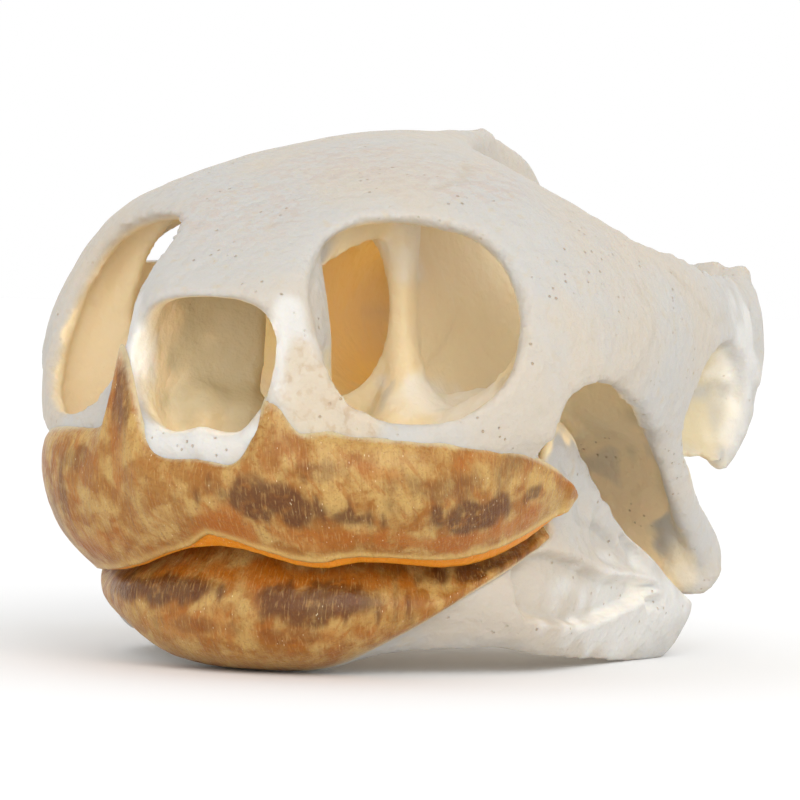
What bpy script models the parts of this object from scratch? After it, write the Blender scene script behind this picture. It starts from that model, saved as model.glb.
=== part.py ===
"""Pond turtle skull: the cranium, the lower jaw and the two horn sheaths of the beak, each one solid.

Sizes are millimetres in a drawing frame: X is the animal's left, Y runs back from the nose opening
and Z is up from the table. The last step moves the finished solids to their common centre and
scales them to metres.
"""

import math

import bmesh
import bpy
import numpy as np
from mathutils import Matrix

# Driving dimensions, in millimetres
BONE = 1.1  # thickness of the thin bone plates
MUZZLE_BONE = 2.3  # thickness of the upper jaw's rim, before the horn's seat is cut into it
HORN = 0.6  # thickness of a horn sheath
GAP = 0.32  # clearance between neighbouring solids
LEAN = 1.2  # degrees by which the skull leans back from the drawing frame when it rests on its jaw
FOOT_CUT = 0.25  # depth of the flat places that it rests on
BONE_CELL = 0.42  # cell size of the skin that joins overlapping bones
HORN_CELL = 0.3  # the same for the horn
CHEWING_SHELF = 4.4  # width of the horn shelf inside the beak's edge
THIN_BONE = 0.9  # thickness of the walls inside the nose
SHARP = 50  # degrees between faces past which an edge is shaded sharp
MM = 0.001
ALONG_X, ALONG_Y, ALONG_Z = (1, 0, 0), (0, 1, 0), (0, 0, 1)
NAMES = ("cranium", "lower_jaw", "upper_beak_sheath", "lower_beak_sheath")

CRANIUM_TRIANGLES = 4500
JAW_TRIANGLES = 1500
UPPER_HORN_TRIANGLES = 950
LOWER_HORN_TRIANGLES = 700
POCKET_TRIANGLES = 1000

# Half rings of the skull's outer plate, from the nose opening to the back of the head.
# Each ring runs from the midline of the roof down the animal's left side.
VAULT_RINGS = (
    ((0, 1.3, 19.4), (2.1, 1.3, 19.2), (3.2, 1.3, 18.3), (3.6, 1.2, 17.0),
     (3.6, 1.0, 15.6), (3.1, 0.8, 14.3), (2.2, 0.7, 13.5)),
    ((0, 0.2, 20.2), (2.7, 0.2, 20.0), (3.9, 0.3, 18.8), (4.3, 0.2, 17.2),
     (4.3, 0.0, 15.6), (3.8, -0.2, 14.2), (2.7, -0.3, 12.9)),
    ((0, 1.5, 21.3), (3.0, 1.5, 21.2), (4.7, 1.7, 20.2), (5.3, 1.8, 18.4),
     (5.6, 1.6, 16.2), (5.7, 1.2, 14.2), (5.2, 0.6, 12.4)),
    ((0, 4.2, 23.1), (3.4, 4.2, 23.0), (5.8, 4.1, 21.8), (7.2, 3.7, 19.6),
     (8.0, 3.2, 17.2), (8.5, 2.8, 14.8), (8.6, 2.2, 12.6)),
    ((0, 8.2, 25.3), (4.2, 8.2, 25.2), (7.4, 8.5, 24.4), (9.9, 8.0, 22.0),
     (11.6, 6.9, 18.6), (12.3, 5.8, 15.2), (12.0, 5.0, 12.4)),
    ((0, 13.2, 27.5), (4.4, 12.9, 27.1), (8.4, 12.6, 26.2), (12.5, 12.5, 23.9),
     (15.1, 12.1, 20.0), (15.9, 11.3, 16.0), (15.2, 10.2, 12.5)),
    ((0, 19, 28.9), (4.5, 18.8, 28.3), (8.9, 18.3, 26.8), (13.5, 17.6, 24.2),
     (16.4, 16.9, 20.4), (17.1, 16.0, 16.0), (16.2, 15, 12.4)),
    ((0, 25.5, 29.4), (3.6, 25.5, 28.2), (8, 25.5, 26.2), (12.6, 25.2, 24.7),
     (16.0, 24.9, 22.2), (17.3, 24.0, 17.6), (16.2, 22.5, 12.6)),
    ((0, 32, 29.4), (2.6, 32, 27.6), (7, 32.5, 25.0), (12.0, 32.6, 23.7),
     (15.3, 31.8, 21.6), (16.6, 30.9, 17.2), (15.4, 29.5, 11.4)),
    ((0, 38, 28.3), (1.6, 38, 26.8), (6, 39.5, 23.8), (12.6, 41.6, 22.0),
     (14.8, 41.2, 19.6), (15.1, 40.8, 15.4), (13.7, 40.2, 9.8)),
)

# Upright profiles of the upper beak's outer face, from the midline back to the corner of the mouth.
# Each profile runs from the horn's upper border down to the cutting edge.
UPPER_BEAK = (
    ((0, -0.45, 11.8), (0, -0.75, 10.6), (0, -0.3, 9.0), (0, 0.7, 7.7), (0, 2.0, 6.6)),
    ((3.2, -0.3, 12.5), (3.3, -0.65, 11.0), (3.3, -0.2, 9.1), (3.3, 0.9, 7.4), (3.2, 2.1, 6.0)),
    ((5.5, 1.3, 16.0), (5.9, 0.6, 13.2), (6.1, 0.4, 10.6), (6.0, 1.3, 7.9), (5.6, 2.9, 5.6)),
    ((7.3, 1.8, 13.7), (7.7, 1.1, 12.2), (7.9, 1.1, 10.2), (7.6, 2.1, 7.8), (7.0, 3.8, 5.9)),
    ((9.9, 2.8, 13.2), (10.2, 2.3, 11.8), (10.4, 2.5, 10.0), (10.0, 3.7, 7.8), (9.1, 5.8, 5.8)),
    ((12.4, 5.3, 13.1), (12.6, 5.0, 11.6), (12.6, 5.3, 9.9), (12.1, 6.5, 7.8), (11.0, 8.7, 5.6)),
    ((14.2, 8.9, 12.8), (14.1, 8.7, 11.3), (13.9, 9.0, 9.8), (13.4, 10.0, 8.0), (12.5, 11.5, 6.3)),
    ((15.0, 11.8, 12.1), (14.8, 11.6, 10.9), (14.6, 11.8, 9.8), (14.1, 12.4, 8.5), (13.5, 13.4, 7.3)),
    ((15.1, 13.6, 11.2), (15.0, 13.6, 10.4), (14.8, 13.8, 9.7), (14.5, 14.1, 8.9), (14.1, 14.6, 8.2)),
    ((14.9, 14.9, 10.3), (14.8, 15.0, 10.0), (14.7, 15.1, 9.7), (14.5, 15.2, 9.3), (14.3, 15.4, 9.0)),
)

# The same for the lower beak, from the cutting edge down to the horn's lower border.
LOWER_BEAK = (
    ((0, 4.6, 6.9), (0, 3.5, 5.8), (0, 2.4, 4.4), (0, 2.2, 2.6), (0, 3.3, 0.7), (0, 5.6, -0.3)),
    ((4.0, 5.2, 6.7), (4.3, 4.1, 5.6), (4.6, 3.1, 4.4), (4.5, 3.0, 2.6), (4.2, 4.2, 0.8), (3.6, 6.0, -0.2)),
    ((6.6, 7.0, 6.5), (7.1, 6.0, 5.4), (7.7, 4.9, 4.3), (7.8, 4.8, 3.2), (7.5, 5.2, 2.3), (7.2, 5.7, 1.5)),
    ((8.6, 9.6, 6.5), (9.2, 8.8, 5.6), (9.8, 8.0, 4.6), (10.1, 7.6, 4.2), (10.2, 7.5, 3.8), (10.1, 7.7, 3.3)),
    ((10.4, 12.4, 6.8), (10.9, 11.8, 6.2), (11.3, 11.2, 5.6), (11.6, 10.8, 5.3), (11.7, 10.6, 5.1),
     (11.8, 10.5, 4.8)),
    ((11.6, 14.6, 7.3), (11.9, 14.2, 7.0), (12.2, 13.8, 6.7), (12.5, 13.5, 6.5), (12.7, 13.3, 6.3),
     (12.8, 13.2, 6.0)),
    ((12.4, 15.9, 7.7), (12.6, 15.7, 7.5), (12.8, 15.5, 7.4), (13.0, 15.3, 7.2), (13.1, 15.2, 7.1),
     (13.1, 15.1, 6.9)),
)

# Closed sections of the lower jaw, from the chin's midline back to the joint on the left side.
# Each runs down the outer face from the top, under the jaw and up the inner face.
JAW_SECTIONS = (
    ((0, 4.6, 6.7), (0, 2.4, 4.3), (0, 2.3, 2.3), (0, 4.2, 0.0),
     (0, 7.5, -0.3), (0, 8.8, 1.4), (0, 8.8, 3.6), (0, 7.8, 5.6)),
    ((4.0, 5.2, 6.5), (4.6, 3.1, 4.3), (4.5, 3.1, 2.3), (4.2, 4.9, 0.2),
     (3.4, 8.0, -0.1), (3.0, 9.4, 1.5), (3.0, 9.4, 3.7), (3.3, 8.4, 5.6)),
    ((6.6, 7.0, 6.3), (7.6, 5.0, 4.3), (7.3, 5.8, 2.6), (6.6, 7.2, 1.1),
     (5.9, 9.4, 0.6), (5.6, 10.8, 1.8), (5.6, 10.8, 3.9), (6.0, 9.8, 5.7)),
    ((8.6, 9.6, 6.3), (9.9, 7.9, 4.5), (9.6, 8.5, 2.9), (9.0, 9.7, 1.3),
     (8.7, 11.2, 0.8), (8.0, 12.2, 2.0), (8.0, 12.2, 4.2), (8.1, 11.4, 5.9)),
    ((10.4, 12.4, 6.6), (11.7, 11.0, 5.2), (12.1, 11.2, 3.3), (11.8, 12.5, 1.4),
     (10.9, 13.8, 0.9), (10.2, 14.4, 2.2), (10.0, 14.4, 4.4), (10.1, 13.8, 6.2)),
    ((11.8, 14.9, 7.7), (12.9, 14.2, 6.2), (13.7, 14.5, 3.8), (13.3, 15.2, 1.5),
     (12.2, 16.0, 0.6), (11.5, 16.3, 2.4), (11.1, 16.3, 4.8), (11.2, 15.9, 7.2)),
    ((12.6, 18.2, 12.3), (13.2, 18.2, 8.0), (14.2, 18.2, 4.2), (13.6, 18.3, 1.5),
     (12.6, 18.7, 0.3), (12.0, 18.8, 2.4), (11.6, 18.9, 6.0), (11.7, 18.9, 12.0)),
    ((12.6, 20.8, 11.2), (13.0, 20.9, 7.6), (14.3, 21.0, 4.3), (13.7, 21.0, 1.6),
     (12.8, 21.2, -0.1), (12.1, 21.3, 2.2), (11.5, 21.4, 5.6), (11.5, 21.3, 10.8)),
    ((13.3, 24.3, 7.4), (13.6, 24.4, 6.2), (14.4, 24.5, 4.4), (13.9, 24.5, 1.6),
     (13.0, 24.7, -0.5), (12.0, 24.8, 1.6), (11.2, 24.9, 4.2), (11.0, 24.9, 7.4)),
    ((13.7, 28.2, 5.3), (14.1, 28.2, 4.6), (14.4, 28.2, 3.2), (14.0, 28.0, 0.9),
     (13.0, 27.8, -0.9), (11.9, 28.2, 0.6), (11.0, 28.6, 3.2), (10.8, 28.6, 6.2)),
    ((12.9, 32.0, 3.3), (14.2, 31.8, 3.0), (14.5, 31.5, 1.6), (13.9, 31.1, -0.2),
     (12.8, 31.0, -1.0), (11.4, 31.5, 0.2), (10.4, 32.0, 2.0), (10.8, 32.1, 4.0)),
    ((12.8, 35.6, 2.3), (14.0, 35.3, 2.2), (14.1, 34.8, 1.6), (13.6, 34.3, 1.0),
     (12.8, 34.2, 0.7), (11.4, 34.6, 1.1), (10.6, 35.2, 1.8), (11.2, 35.7, 2.3)),
)

SKULL_MIDDLE = (0, 18, 14)  # the plates are thickened towards this point
MOUTH_MIDDLE = (0, 15, 0)  # the beak's chewing shelves turn in towards this point
JAW_REAR = 20  # Y behind which the lower jaw has its rear feet

# A chewing shelf's profile: share of its width from the cutting edge, and height from the edge
SHELF_PROFILE = ((0, 0), (0.16, 1.0), (0.4, 2.2), (0.7, 2.7), (1.0, 2.7))
SHELF_SETBACK = 0.35  # how far the shelf's upper face stands outside its lower one
REAR_NARROWING = 0.6  # share of its width that the shelf loses at the corners of the mouth

# Hollows, each an ellipsoid with its centre and half axes
EAR_HOLLOW = ((17.2, 35.4, 13.8), (5.2, 5.7, 3.5))
MOUTH_HOLLOW = ((0, 12.5, 8.2), (7.0, 7.5, 2.7))
JAW_SIDE_HOLLOW = ((15.9, 17.0, 4.6), (2.2, 6.0, 2.3))
JAW_TOP_TROUGH = ((12.2, 26.4, 7.2), (0.6, 3.8, 2.8))

# Outlines of the openings, each in the plane across which its cutter is swept
ORBIT_CENTRE = (9.2, 6.3, 18.7)
ORBIT_BEHIND = 4  # how far behind its centre the eye's cutter starts
ORBIT_SWEEP = 16  # length of the eye's cutter
ORBIT_TURN = 42.0  # degrees out from straight ahead
ORBIT_TILT = 14.0  # degrees up
ORBIT_OUTLINE = (
    (-5.6, 1.7), (-4.7, 3.9), (-2.6, 5.3), (-0.2, 5.6), (2.1, 5.4), (4.4, 4.2), (5.4, 2.0),
    (5.5, -0.6), (4.8, -3.2), (3.1, -5.2), (0.5, -6.0), (-2.4, -5.5), (-4.3, -3.5), (-5.3, -0.9),
)
CHEEK_INSIDE = 11  # X at which the cheek's cutter starts
CHEEK_SWEEP = 9
CHEEK_OUTLINE = (  # (Y, Z)
    (18.0, 4.0), (16.8, 8.6), (15.4, 10.4), (14.0, 11.6), (13.4, 12.8), (14.2, 14.0), (16.0, 15.0),
    (18.2, 15.4), (20.6, 15.1), (22.6, 14.5), (25.3, 13.2), (28.0, 10.9), (31.0, 8.2), (34.0, 4.0),
)
TEMPLE_FLOOR = 20.5  # Z at which the temple's cutter starts
TEMPLE_SWEEP = 12
TEMPLE_OUTLINE = (  # (X, Y)
    (1.2, 33.2), (1.9, 30.2), (3.6, 27.6), (5.8, 25.2), (8.4, 23.0), (11.2, 21.8), (13.6, 22.4),
    (14.9, 24.8), (15.1, 28.0), (14.7, 32.0), (14.1, 36.5), (13.6, 41.5), (12.3, 46), (5, 48), (1.6, 46),
    (1.1, 40),
)
DIP_OUTLINE = (  # (X, Y), on the right only, where the bar beside the temple's opening dips
    (-12.4, 21.4), (-14.6, 20.2), (-17.2, 20.6), (-18.4, 24.0), (-17.6, 28.0), (-15.8, 30.2), (-13.6, 28.6),
    (-12.4, 25.0),
)
DIP_FLOOR = 21.5  # height of the bar's upper edge there


def spline(points, count, closed=False):
    """A cubic spline through points along their first axis, read at count even steps."""
    p = np.asarray(points, float)
    n = len(p)
    system = 4 * np.eye(n) + np.eye(n, k=1) + np.eye(n, k=-1)
    bend = 6 * (np.roll(p, -1, 0) - 2 * p + np.roll(p, 1, 0))
    if closed:
        system[0, -1] = system[-1, 0] = 1
    else:
        system[0] = system[-1] = 0
        system[0, 0] = system[-1, -1] = 1
        bend[0] = bend[-1] = 0
    m = np.linalg.solve(system, bend.reshape(n, -1)).reshape(p.shape)
    spans = n if closed else n - 1
    t = np.linspace(0, spans, count, endpoint=not closed)
    i = np.minimum(t.astype(int), spans - 1)
    u = (t - i).reshape((-1,) + (1,) * (p.ndim - 1))
    j = (i + 1) % n
    ends = m[i] * (1 - u) ** 3 / 6 + m[j] * u**3 / 6
    return ends + (p[i] - m[i] / 6) * (1 - u) + (p[j] - m[j] / 6) * u


def mirrored(half):
    """The whole row of items, right side to left side, from its left half that starts on the midline."""
    left = np.asarray(half, float)
    return np.concatenate([left[:0:-1] * (-1, 1, 1), left])


def new_object(name, vertices, faces):
    mesh = bpy.data.meshes.new(name)
    mesh.from_pydata([tuple(map(float, v)) for v in vertices], [], [tuple(map(int, f)) for f in faces])
    shape = bmesh.new()
    shape.from_mesh(mesh)
    bmesh.ops.recalc_face_normals(shape, faces=shape.faces)
    shape.to_mesh(mesh)
    shape.free()
    obj = bpy.data.objects.new(name, mesh)
    bpy.context.scene.collection.objects.link(obj)
    return obj


def apply_modifiers(obj):
    graph = bpy.context.evaluated_depsgraph_get()
    done = bpy.data.meshes.new_from_object(obj.evaluated_get(graph))
    obj.modifiers.clear()
    obj.data = done
    return obj


def plate(name, outer, inner):
    """A closed solid between two sheets of points with the same rows and columns."""
    rows, columns = outer.shape[:2]
    size = rows * columns
    index = np.arange(size).reshape(rows, columns)
    a, b, c, d = index[:-1, :-1], index[:-1, 1:], index[1:, 1:], index[1:, :-1]
    front = np.stack([a, b, c, d], -1).reshape(-1, 4)
    rim = np.concatenate([index[0, :-1], index[:-1, -1], index[-1, :0:-1], index[:0:-1, 0]])
    after = np.roll(rim, -1)
    sides = np.stack([after, rim, rim + size, after + size], -1)
    faces = np.concatenate([front, front[:, ::-1] + size, sides])
    return new_object(name, np.concatenate([outer.reshape(-1, 3), inner.reshape(-1, 3)]), faces)


def smooth_grid(rows, rows_out, columns_out):
    """A grid of control points made fine both ways."""
    down = spline(rows, rows_out)
    return spline(down.transpose(1, 0, 2), columns_out).transpose(1, 0, 2)


def curved_plate(name, rows, thickness, rows_out, columns_out):
    """A plate through a grid of control points, thickened towards the middle of the skull."""
    grid = smooth_grid(rows, rows_out, columns_out)
    out = np.cross(np.gradient(grid, axis=0), np.gradient(grid, axis=1))
    out /= np.maximum(np.linalg.norm(out, axis=2, keepdims=True), 1e-9)
    if ((grid - SKULL_MIDDLE) * out).sum() < 0:
        out = -out
    return plate(name, grid, grid - thickness * out)


def tube(name, rings, steps=24, sides=24):
    """A closed solid lofted through closed rings of control points, capped at both ends."""
    rows = spline(np.array([spline(r, sides, closed=True) for r in rings]), steps)
    low = np.arange((steps - 1) * sides).reshape(steps - 1, sides)
    beside = np.roll(low, -1, axis=1)
    faces = [tuple(f) for f in np.stack([low, beside, beside + sides, low + sides], -1).reshape(-1, 4)]
    faces.append(tuple(range(sides)))
    faces.append(tuple(range((steps - 1) * sides, steps * sides)))
    return new_object(name, rows.reshape(-1, 3), faces)


def oval(centre, across, up, corners=8):
    """A ring of control points: an ellipse whose two half axes are vectors."""
    turns = [2 * math.pi * k / corners for k in range(corners)]
    return [np.add(centre, math.cos(a) * np.array(across) + math.sin(a) * np.array(up)) for a in turns]


def limb(name, stations, steps=20, sides=20):
    """A tube through stations, each a centre and the two half axes of its oval section."""
    return tube(name, [oval(*s) for s in stations], steps, sides)


def ball(name, centre, radii):
    """An ellipsoid."""
    shape = bmesh.new()
    bmesh.ops.create_icosphere(shape, subdivisions=4, radius=1)
    place = Matrix.Translation(centre) @ Matrix.Diagonal((*radii, 1))
    bmesh.ops.transform(shape, matrix=place, verts=shape.verts)
    mesh = bpy.data.meshes.new(name)
    shape.to_mesh(mesh)
    shape.free()
    obj = bpy.data.objects.new(name, mesh)
    bpy.context.scene.collection.objects.link(obj)
    return obj


def prism(name, outline, origin, along, right, up, depth):
    """A smooth closed outline in (right, up), swept by depth along a direction."""
    edge = spline(outline, 64, closed=True)
    near = np.array(origin) + edge[:, :1] * np.array(right) + edge[:, 1:] * np.array(up)
    far = near + depth * np.array(along)
    k = np.arange(len(edge))
    after = np.roll(k, -1)
    faces = [tuple(f) for f in np.stack([k, after, after + len(k), k + len(k)], -1)]
    return new_object(name, np.concatenate([near, far]), faces + [tuple(k), tuple(k + len(k))])


def both_sides(objects):
    """The objects and their mirror images on the animal's right."""
    twins = []
    for obj in objects:
        twin = obj.copy()
        twin.data = obj.data.copy()
        twin.data.transform(Matrix.Diagonal((-1, 1, 1, 1)))
        twin.data.flip_normals()
        bpy.context.scene.collection.objects.link(twin)
        twins.append(twin)
    return objects + twins


def main_body_only(obj):
    """Keeps the largest connected part, and drops inner bubbles and crumbs."""
    shape = bmesh.new()
    shape.from_mesh(obj.data)
    left = set(shape.verts)
    bodies = []
    while left:
        stack = [left.pop()]
        body = set(stack)
        while stack:
            for edge in stack.pop().link_edges:
                for vert in edge.verts:
                    if vert not in body:
                        body.add(vert)
                        stack.append(vert)
        left -= body
        bodies.append(body)
    bodies.sort(key=len)
    crumbs = [v for body in bodies[:-1] for v in body]
    bmesh.ops.delete(shape, geom=crumbs, context="VERTS")
    shape.to_mesh(obj.data)
    shape.free()
    return obj


def fuse(name, objects, cell=BONE_CELL, smooth=4):
    """One skin round overlapping solids: joined, voxel remeshed and lightly smoothed."""
    shape = bmesh.new()
    for obj in objects:
        shape.from_mesh(obj.data)
        bpy.data.objects.remove(obj)
    mesh = bpy.data.meshes.new(name)
    shape.to_mesh(mesh)
    shape.free()
    whole = bpy.data.objects.new(name, mesh)
    bpy.context.scene.collection.objects.link(whole)
    skin = whole.modifiers.new("skin", "REMESH")
    skin.mode = "VOXEL"
    skin.voxel_size = cell
    soft = whole.modifiers.new("soft", "SMOOTH")
    soft.factor = 0.5
    soft.iterations = smooth
    return main_body_only(apply_modifiers(whole))


def carve(obj, cutters):
    """Cuts each cutter out of obj, and removes the cutters."""
    for cutter in cutters:
        cut = obj.modifiers.new("cut", "BOOLEAN")
        cut.operation = "DIFFERENCE"
        cut.object = cutter
        apply_modifiers(obj)
        bpy.data.objects.remove(cutter)
    return main_body_only(obj)


def reduce_to(obj, triangles):
    """Collapses edges until about this many triangles are left."""
    whole = sum(len(p.vertices) - 2 for p in obj.data.polygons)
    fewer = obj.modifiers.new("fewer", "DECIMATE")
    fewer.ratio = min(1.0, triangles / whole)
    return apply_modifiers(obj)


def grown(obj, by):
    """A copy of a solid that is larger by the given distance all round."""
    copy = bpy.data.objects.new("pocket", obj.data.copy())
    bpy.context.scene.collection.objects.link(copy)
    swell = copy.modifiers.new("swell", "DISPLACE")
    swell.mid_level = 0
    swell.strength = by
    skin = copy.modifiers.new("skin", "REMESH")
    skin.mode = "VOXEL"
    skin.voxel_size = HORN_CELL
    return reduce_to(main_body_only(apply_modifiers(copy)), POCKET_TRIANGLES)


def face_and_roof():
    """Roof, face and cheeks as one curved plate, with the openings of eye, cheek and temple."""
    rings = [mirrored(ring) for ring in VAULT_RINGS]
    roof = curved_plate("roof", rings, BONE, 76, 81)
    beak = np.array(UPPER_BEAK[:-1])
    rim = curved_plate("rim", [mirrored(beak[:, k]) for k in range(beak.shape[1])], MUZZLE_BONE, 20, 91)
    turn, tilt = math.radians(ORBIT_TURN), math.radians(ORBIT_TILT)
    look = np.array([math.sin(turn) * math.cos(tilt), -math.cos(turn) * math.cos(tilt), math.sin(tilt)])
    right = np.array([math.cos(turn), math.sin(turn), 0])
    up = np.cross(look, right)
    start = np.array(ORBIT_CENTRE) - ORBIT_BEHIND * look
    orbit = prism("orbit", ORBIT_OUTLINE, start, look, right, up, ORBIT_SWEEP)
    cheek = prism("cheek", CHEEK_OUTLINE, (CHEEK_INSIDE, 0, 0), ALONG_X, ALONG_Y, ALONG_Z, CHEEK_SWEEP)
    temple = prism("temple", TEMPLE_OUTLINE, (0, 0, TEMPLE_FLOOR), ALONG_Z, ALONG_X, ALONG_Y, TEMPLE_SWEEP)
    dip = prism("dip", DIP_OUTLINE, (0, 0, DIP_FLOOR), ALONG_Z, ALONG_X, ALONG_Y, TEMPLE_SWEEP)
    return carve(fuse("shell", [roof, rim]), both_sides([orbit, cheek, temple]) + [dip])


def orbit_flange():
    """The inner shelf of the bar behind the eye, which runs down and inwards to the palate."""
    outer = (
        (8.0, 11.5, 26.0), (11.5, 13.0, 24.2), (13.8, 13.6, 21.8), (15.0, 13.6, 19.0),
        (15.2, 13.2, 16.0), (14.4, 12.4, 13.0), (12.5, 11.4, 11.8), (9.0, 10.8, 11.4),
    )
    inner = (
        (7.0, 10.8, 24.9), (10.1, 12.8, 23.0), (11.4, 13.4, 21.0), (12.0, 13.6, 18.8),
        (11.4, 13.8, 16.8), (9.6, 14.2, 15.2), (7.2, 14.4, 14.0), (4.6, 14.6, 13.2),
    )
    return both_sides([curved_plate("flange", (outer, inner), BONE, 8, 40)])


def braincase():
    """The tube that held the brain, the ear bones beside it, the crest over it and the occiput."""
    flank = (
        ((5.0, 15.2, 26.8), (4.0, 15.0, 24.5), (4.1, 14.8, 21.5), (4.4, 14.8, 18.5), (4.6, 14.8, 15.5),
         (6.2, 14.8, 12.8), (3.0, 14.8, 12.0)),
        ((5.0, 20.0, 27.4), (4.3, 20.0, 24.5), (4.5, 20.0, 21.5), (4.9, 20.0, 18.5), (5.3, 20.0, 15.5),
         (6.0, 20.0, 12.8), (3.0, 20.0, 12.0)),
        ((4.4, 25.0, 27.0), (4.8, 25.0, 24.5), (5.8, 25.0, 21.5), (6.6, 25.0, 18.5), (7.2, 25.0, 15.5),
         (7.4, 25.0, 12.6), (3.6, 25.0, 11.8)),
        ((2.6, 31.0, 26.6), (4.4, 31.0, 23.5), (6.0, 31.0, 21.0), (7.0, 31.0, 18.5), (7.4, 31.0, 15.5),
         (7.2, 31.0, 12.8), (3.6, 31.0, 11.8)),
        ((1.4, 38.5, 25.0), (3.4, 38.5, 23.2), (4.8, 38.5, 21.0), (5.2, 38.5, 18.5), (4.8, 38.5, 15.5),
         (3.4, 38.5, 13.4), (1.4, 38.5, 12.8)),
    )
    tube_rings = [list(ring) + [(-x, y, z) for x, y, z in ring[::-1]] for ring in flank]
    ear_bones = limb(
        "ear_bones",
        [
            ((4.0, 31.0, 17.5), (0, 4.6, 0), (0, 0, 4.6)),
            ((7.0, 31.6, 17.2), (0, 4.6, 0), (0, 0, 4.4)),
            ((10.0, 32.8, 16.2), (0, 5.0, 0), (0, 0, 4.6)),
            ((12.5, 34.4, 15.0), (0, 5.8, 0), (0, 0, 5.0)),
            ((14.6, 35.4, 14.2), (0, 6.4, 0), (0, 0, 5.2)),
        ],
    )
    wing = limb(
        "wing",
        [
            ((4.0, 37.5, 18.0), (0, 1.4, 0), (0, 0, 3.2)),
            ((8.5, 38.8, 18.5), (0, 1.2, 0), (0, 0, 3.0)),
            ((13.0, 40.0, 19.0), (0, 1.4, 0), (0, 0, 3.0)),
        ],
    )
    knob = ball("knob", (13.2, 41.4, 21.6), (1.0, 1.2, 1.0))
    blade = (  # (Y, lowest Z, highest Z, half thickness)
        (29.0, 22.0, 28.8, 0.9), (34.0, 22.0, 28.6, 0.8), (38.5, 22.0, 27.7, 0.7), (42.4, 23.2, 26.0, 0.5),
        (44.6, 23.6, 24.6, 0.35),
    )
    crest = tube(
        "crest",
        [[(h, y, a), (h, y, (a + b) / 2), (h / 2, y, b), (-h / 2, y, b), (-h, y, (a + b) / 2), (-h, y, a)]
         for y, a, b, h in blade],
    )
    condyle = ball("condyle", (0, 40.6, 14.4), (1.9, 2.2, 1.6))
    return both_sides([ear_bones, wing, knob]) + [tube("brain_box", tube_rings, 30, 36), crest, condyle]


def brain_space():
    """The hollow inside the braincase, open at both ends."""
    return limb(
        "brain_space",
        [
            ((0, 12.0, 19.4), (3.2, 0, 0), (0, 0, 5.0)),
            ((0, 15.0, 19.3), (3.5, 0, 0), (0, 0, 5.0)),
            ((0, 22.0, 19.0), (3.8, 0, 0), (0, 0, 4.6)),
            ((0, 30.0, 18.5), (4.4, 0, 0), (0, 0, 3.8)),
            ((0, 36.0, 18.4), (3.5, 0, 0), (0, 0, 3.3)),
            ((0, 44.0, 18.4), (3.3, 0, 0), (0, 0, 3.2)),
        ],
        30,
        28,
    )


def palate():
    """Floor of the skull: the roof of the mouth, and the waisted plate that runs back to the jaw joints."""
    waist = (  # (Y, middle Z, half width, half thickness)
        (1.8, 10.5, 3.6, 1.5), (3.5, 10.5, 7.2, 1.7), (7.0, 10.5, 10.4, 1.7), (11.0, 10.7, 12.2, 1.6),
        (14.5, 11.6, 11.2, 1.2), (18.0, 12.3, 7.0, 0.9), (22.0, 12.4, 5.8, 0.8), (26.0, 12.2, 7.4, 0.8),
        (31.0, 11.9, 8.2, 0.9), (37.0, 12.6, 5.0, 1.0), (40.0, 13.4, 2.2, 1.2),
    )
    floor = limb("floor", [((0, y, z), (half, 0, 0), (0, 0, thin)) for y, z, half, thin in waist], 44, 36)
    return [floor]


def jaw_joint():
    """The pillar in front of the ear opening, with the joint's knob at its foot and its sheet of bone."""
    pillar = limb(
        "pillar",
        [
            ((15.0, 26.4, 14.5), (1.4, 0.3, 0), (-0.1, 3.0, 0.8)),
            ((14.6, 28.6, 11.6), (1.3, 0.3, 0), (-0.1, 2.4, 1.0)),
            ((14.1, 31.1, 9.4), (1.3, 0.3, 0), (-0.1, 1.8, 1.2)),
            ((13.6, 33.6, 7.0), (1.5, 0.3, 0), (-0.1, 1.8, 1.0)),
            ((13.1, 35.0, 5.0), (2.1, 0.4, 0), (-0.2, 1.8, 0.6)),
            ((12.8, 35.1, 3.0), (2.2, 0.4, 0), (-0.2, 1.5, 0.1)),
        ],
    )
    sheet = curved_plate(
        "sheet",
        (
            ((14.0, 30.6, 16.0), (11.5, 30.8, 15.5), (8.8, 30.8, 15.0), (5.6, 30.6, 14.0)),
            ((13.8, 32.2, 10.0), (11.4, 33.2, 10.0), (8.8, 33.6, 10.6), (5.6, 33.4, 11.2)),
            ((13.0, 35.2, 4.6), (11.2, 35.8, 5.4), (8.6, 35.6, 7.2), (5.4, 35.0, 9.4)),
        ),
        BONE,
        16,
        20,
    )
    return both_sides([pillar, sheet])


def nose_chamber():
    """The walls that curve in behind the nose opening and leave a slot between them."""
    wall = curved_plate(
        "nose_wall",
        (
            ((3.5, 1.2, 20.2), (4.4, 1.2, 18.5), (4.7, 1.2, 16.0), (4.4, 1.0, 13.4), (3.4, 0.8, 11.4)),
            ((3.9, 3.4, 22.0), (4.8, 3.4, 19.5), (5.1, 3.4, 16.5), (4.9, 3.2, 13.4), (4.0, 3.0, 11.2)),
            ((3.4, 6.2, 23.6), (3.9, 6.4, 20.0), (4.2, 6.4, 16.5), (4.3, 6.2, 13.4), (4.0, 6.0, 11.2)),
            ((1.0, 8.4, 24.6), (0.7, 8.6, 20.0), (0.8, 8.6, 16.5), (1.4, 8.6, 13.4), (2.4, 8.6, 11.2)),
        ),
        THIN_BONE,
        24,
        24,
    )
    ridge = limb(
        "ridge",
        [
            ((2.4, 6.5, 23.4), (0.7, 0, 0), (0, 0, 1.4)),
            ((2.6, 11.0, 25.0), (0.7, 0, 0), (0, 0, 1.8)),
            ((3.6, 15.5, 25.6), (0.8, 0, 0), (0, 0, 2.0)),
        ],
    )
    return both_sides([wall, ridge])


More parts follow.
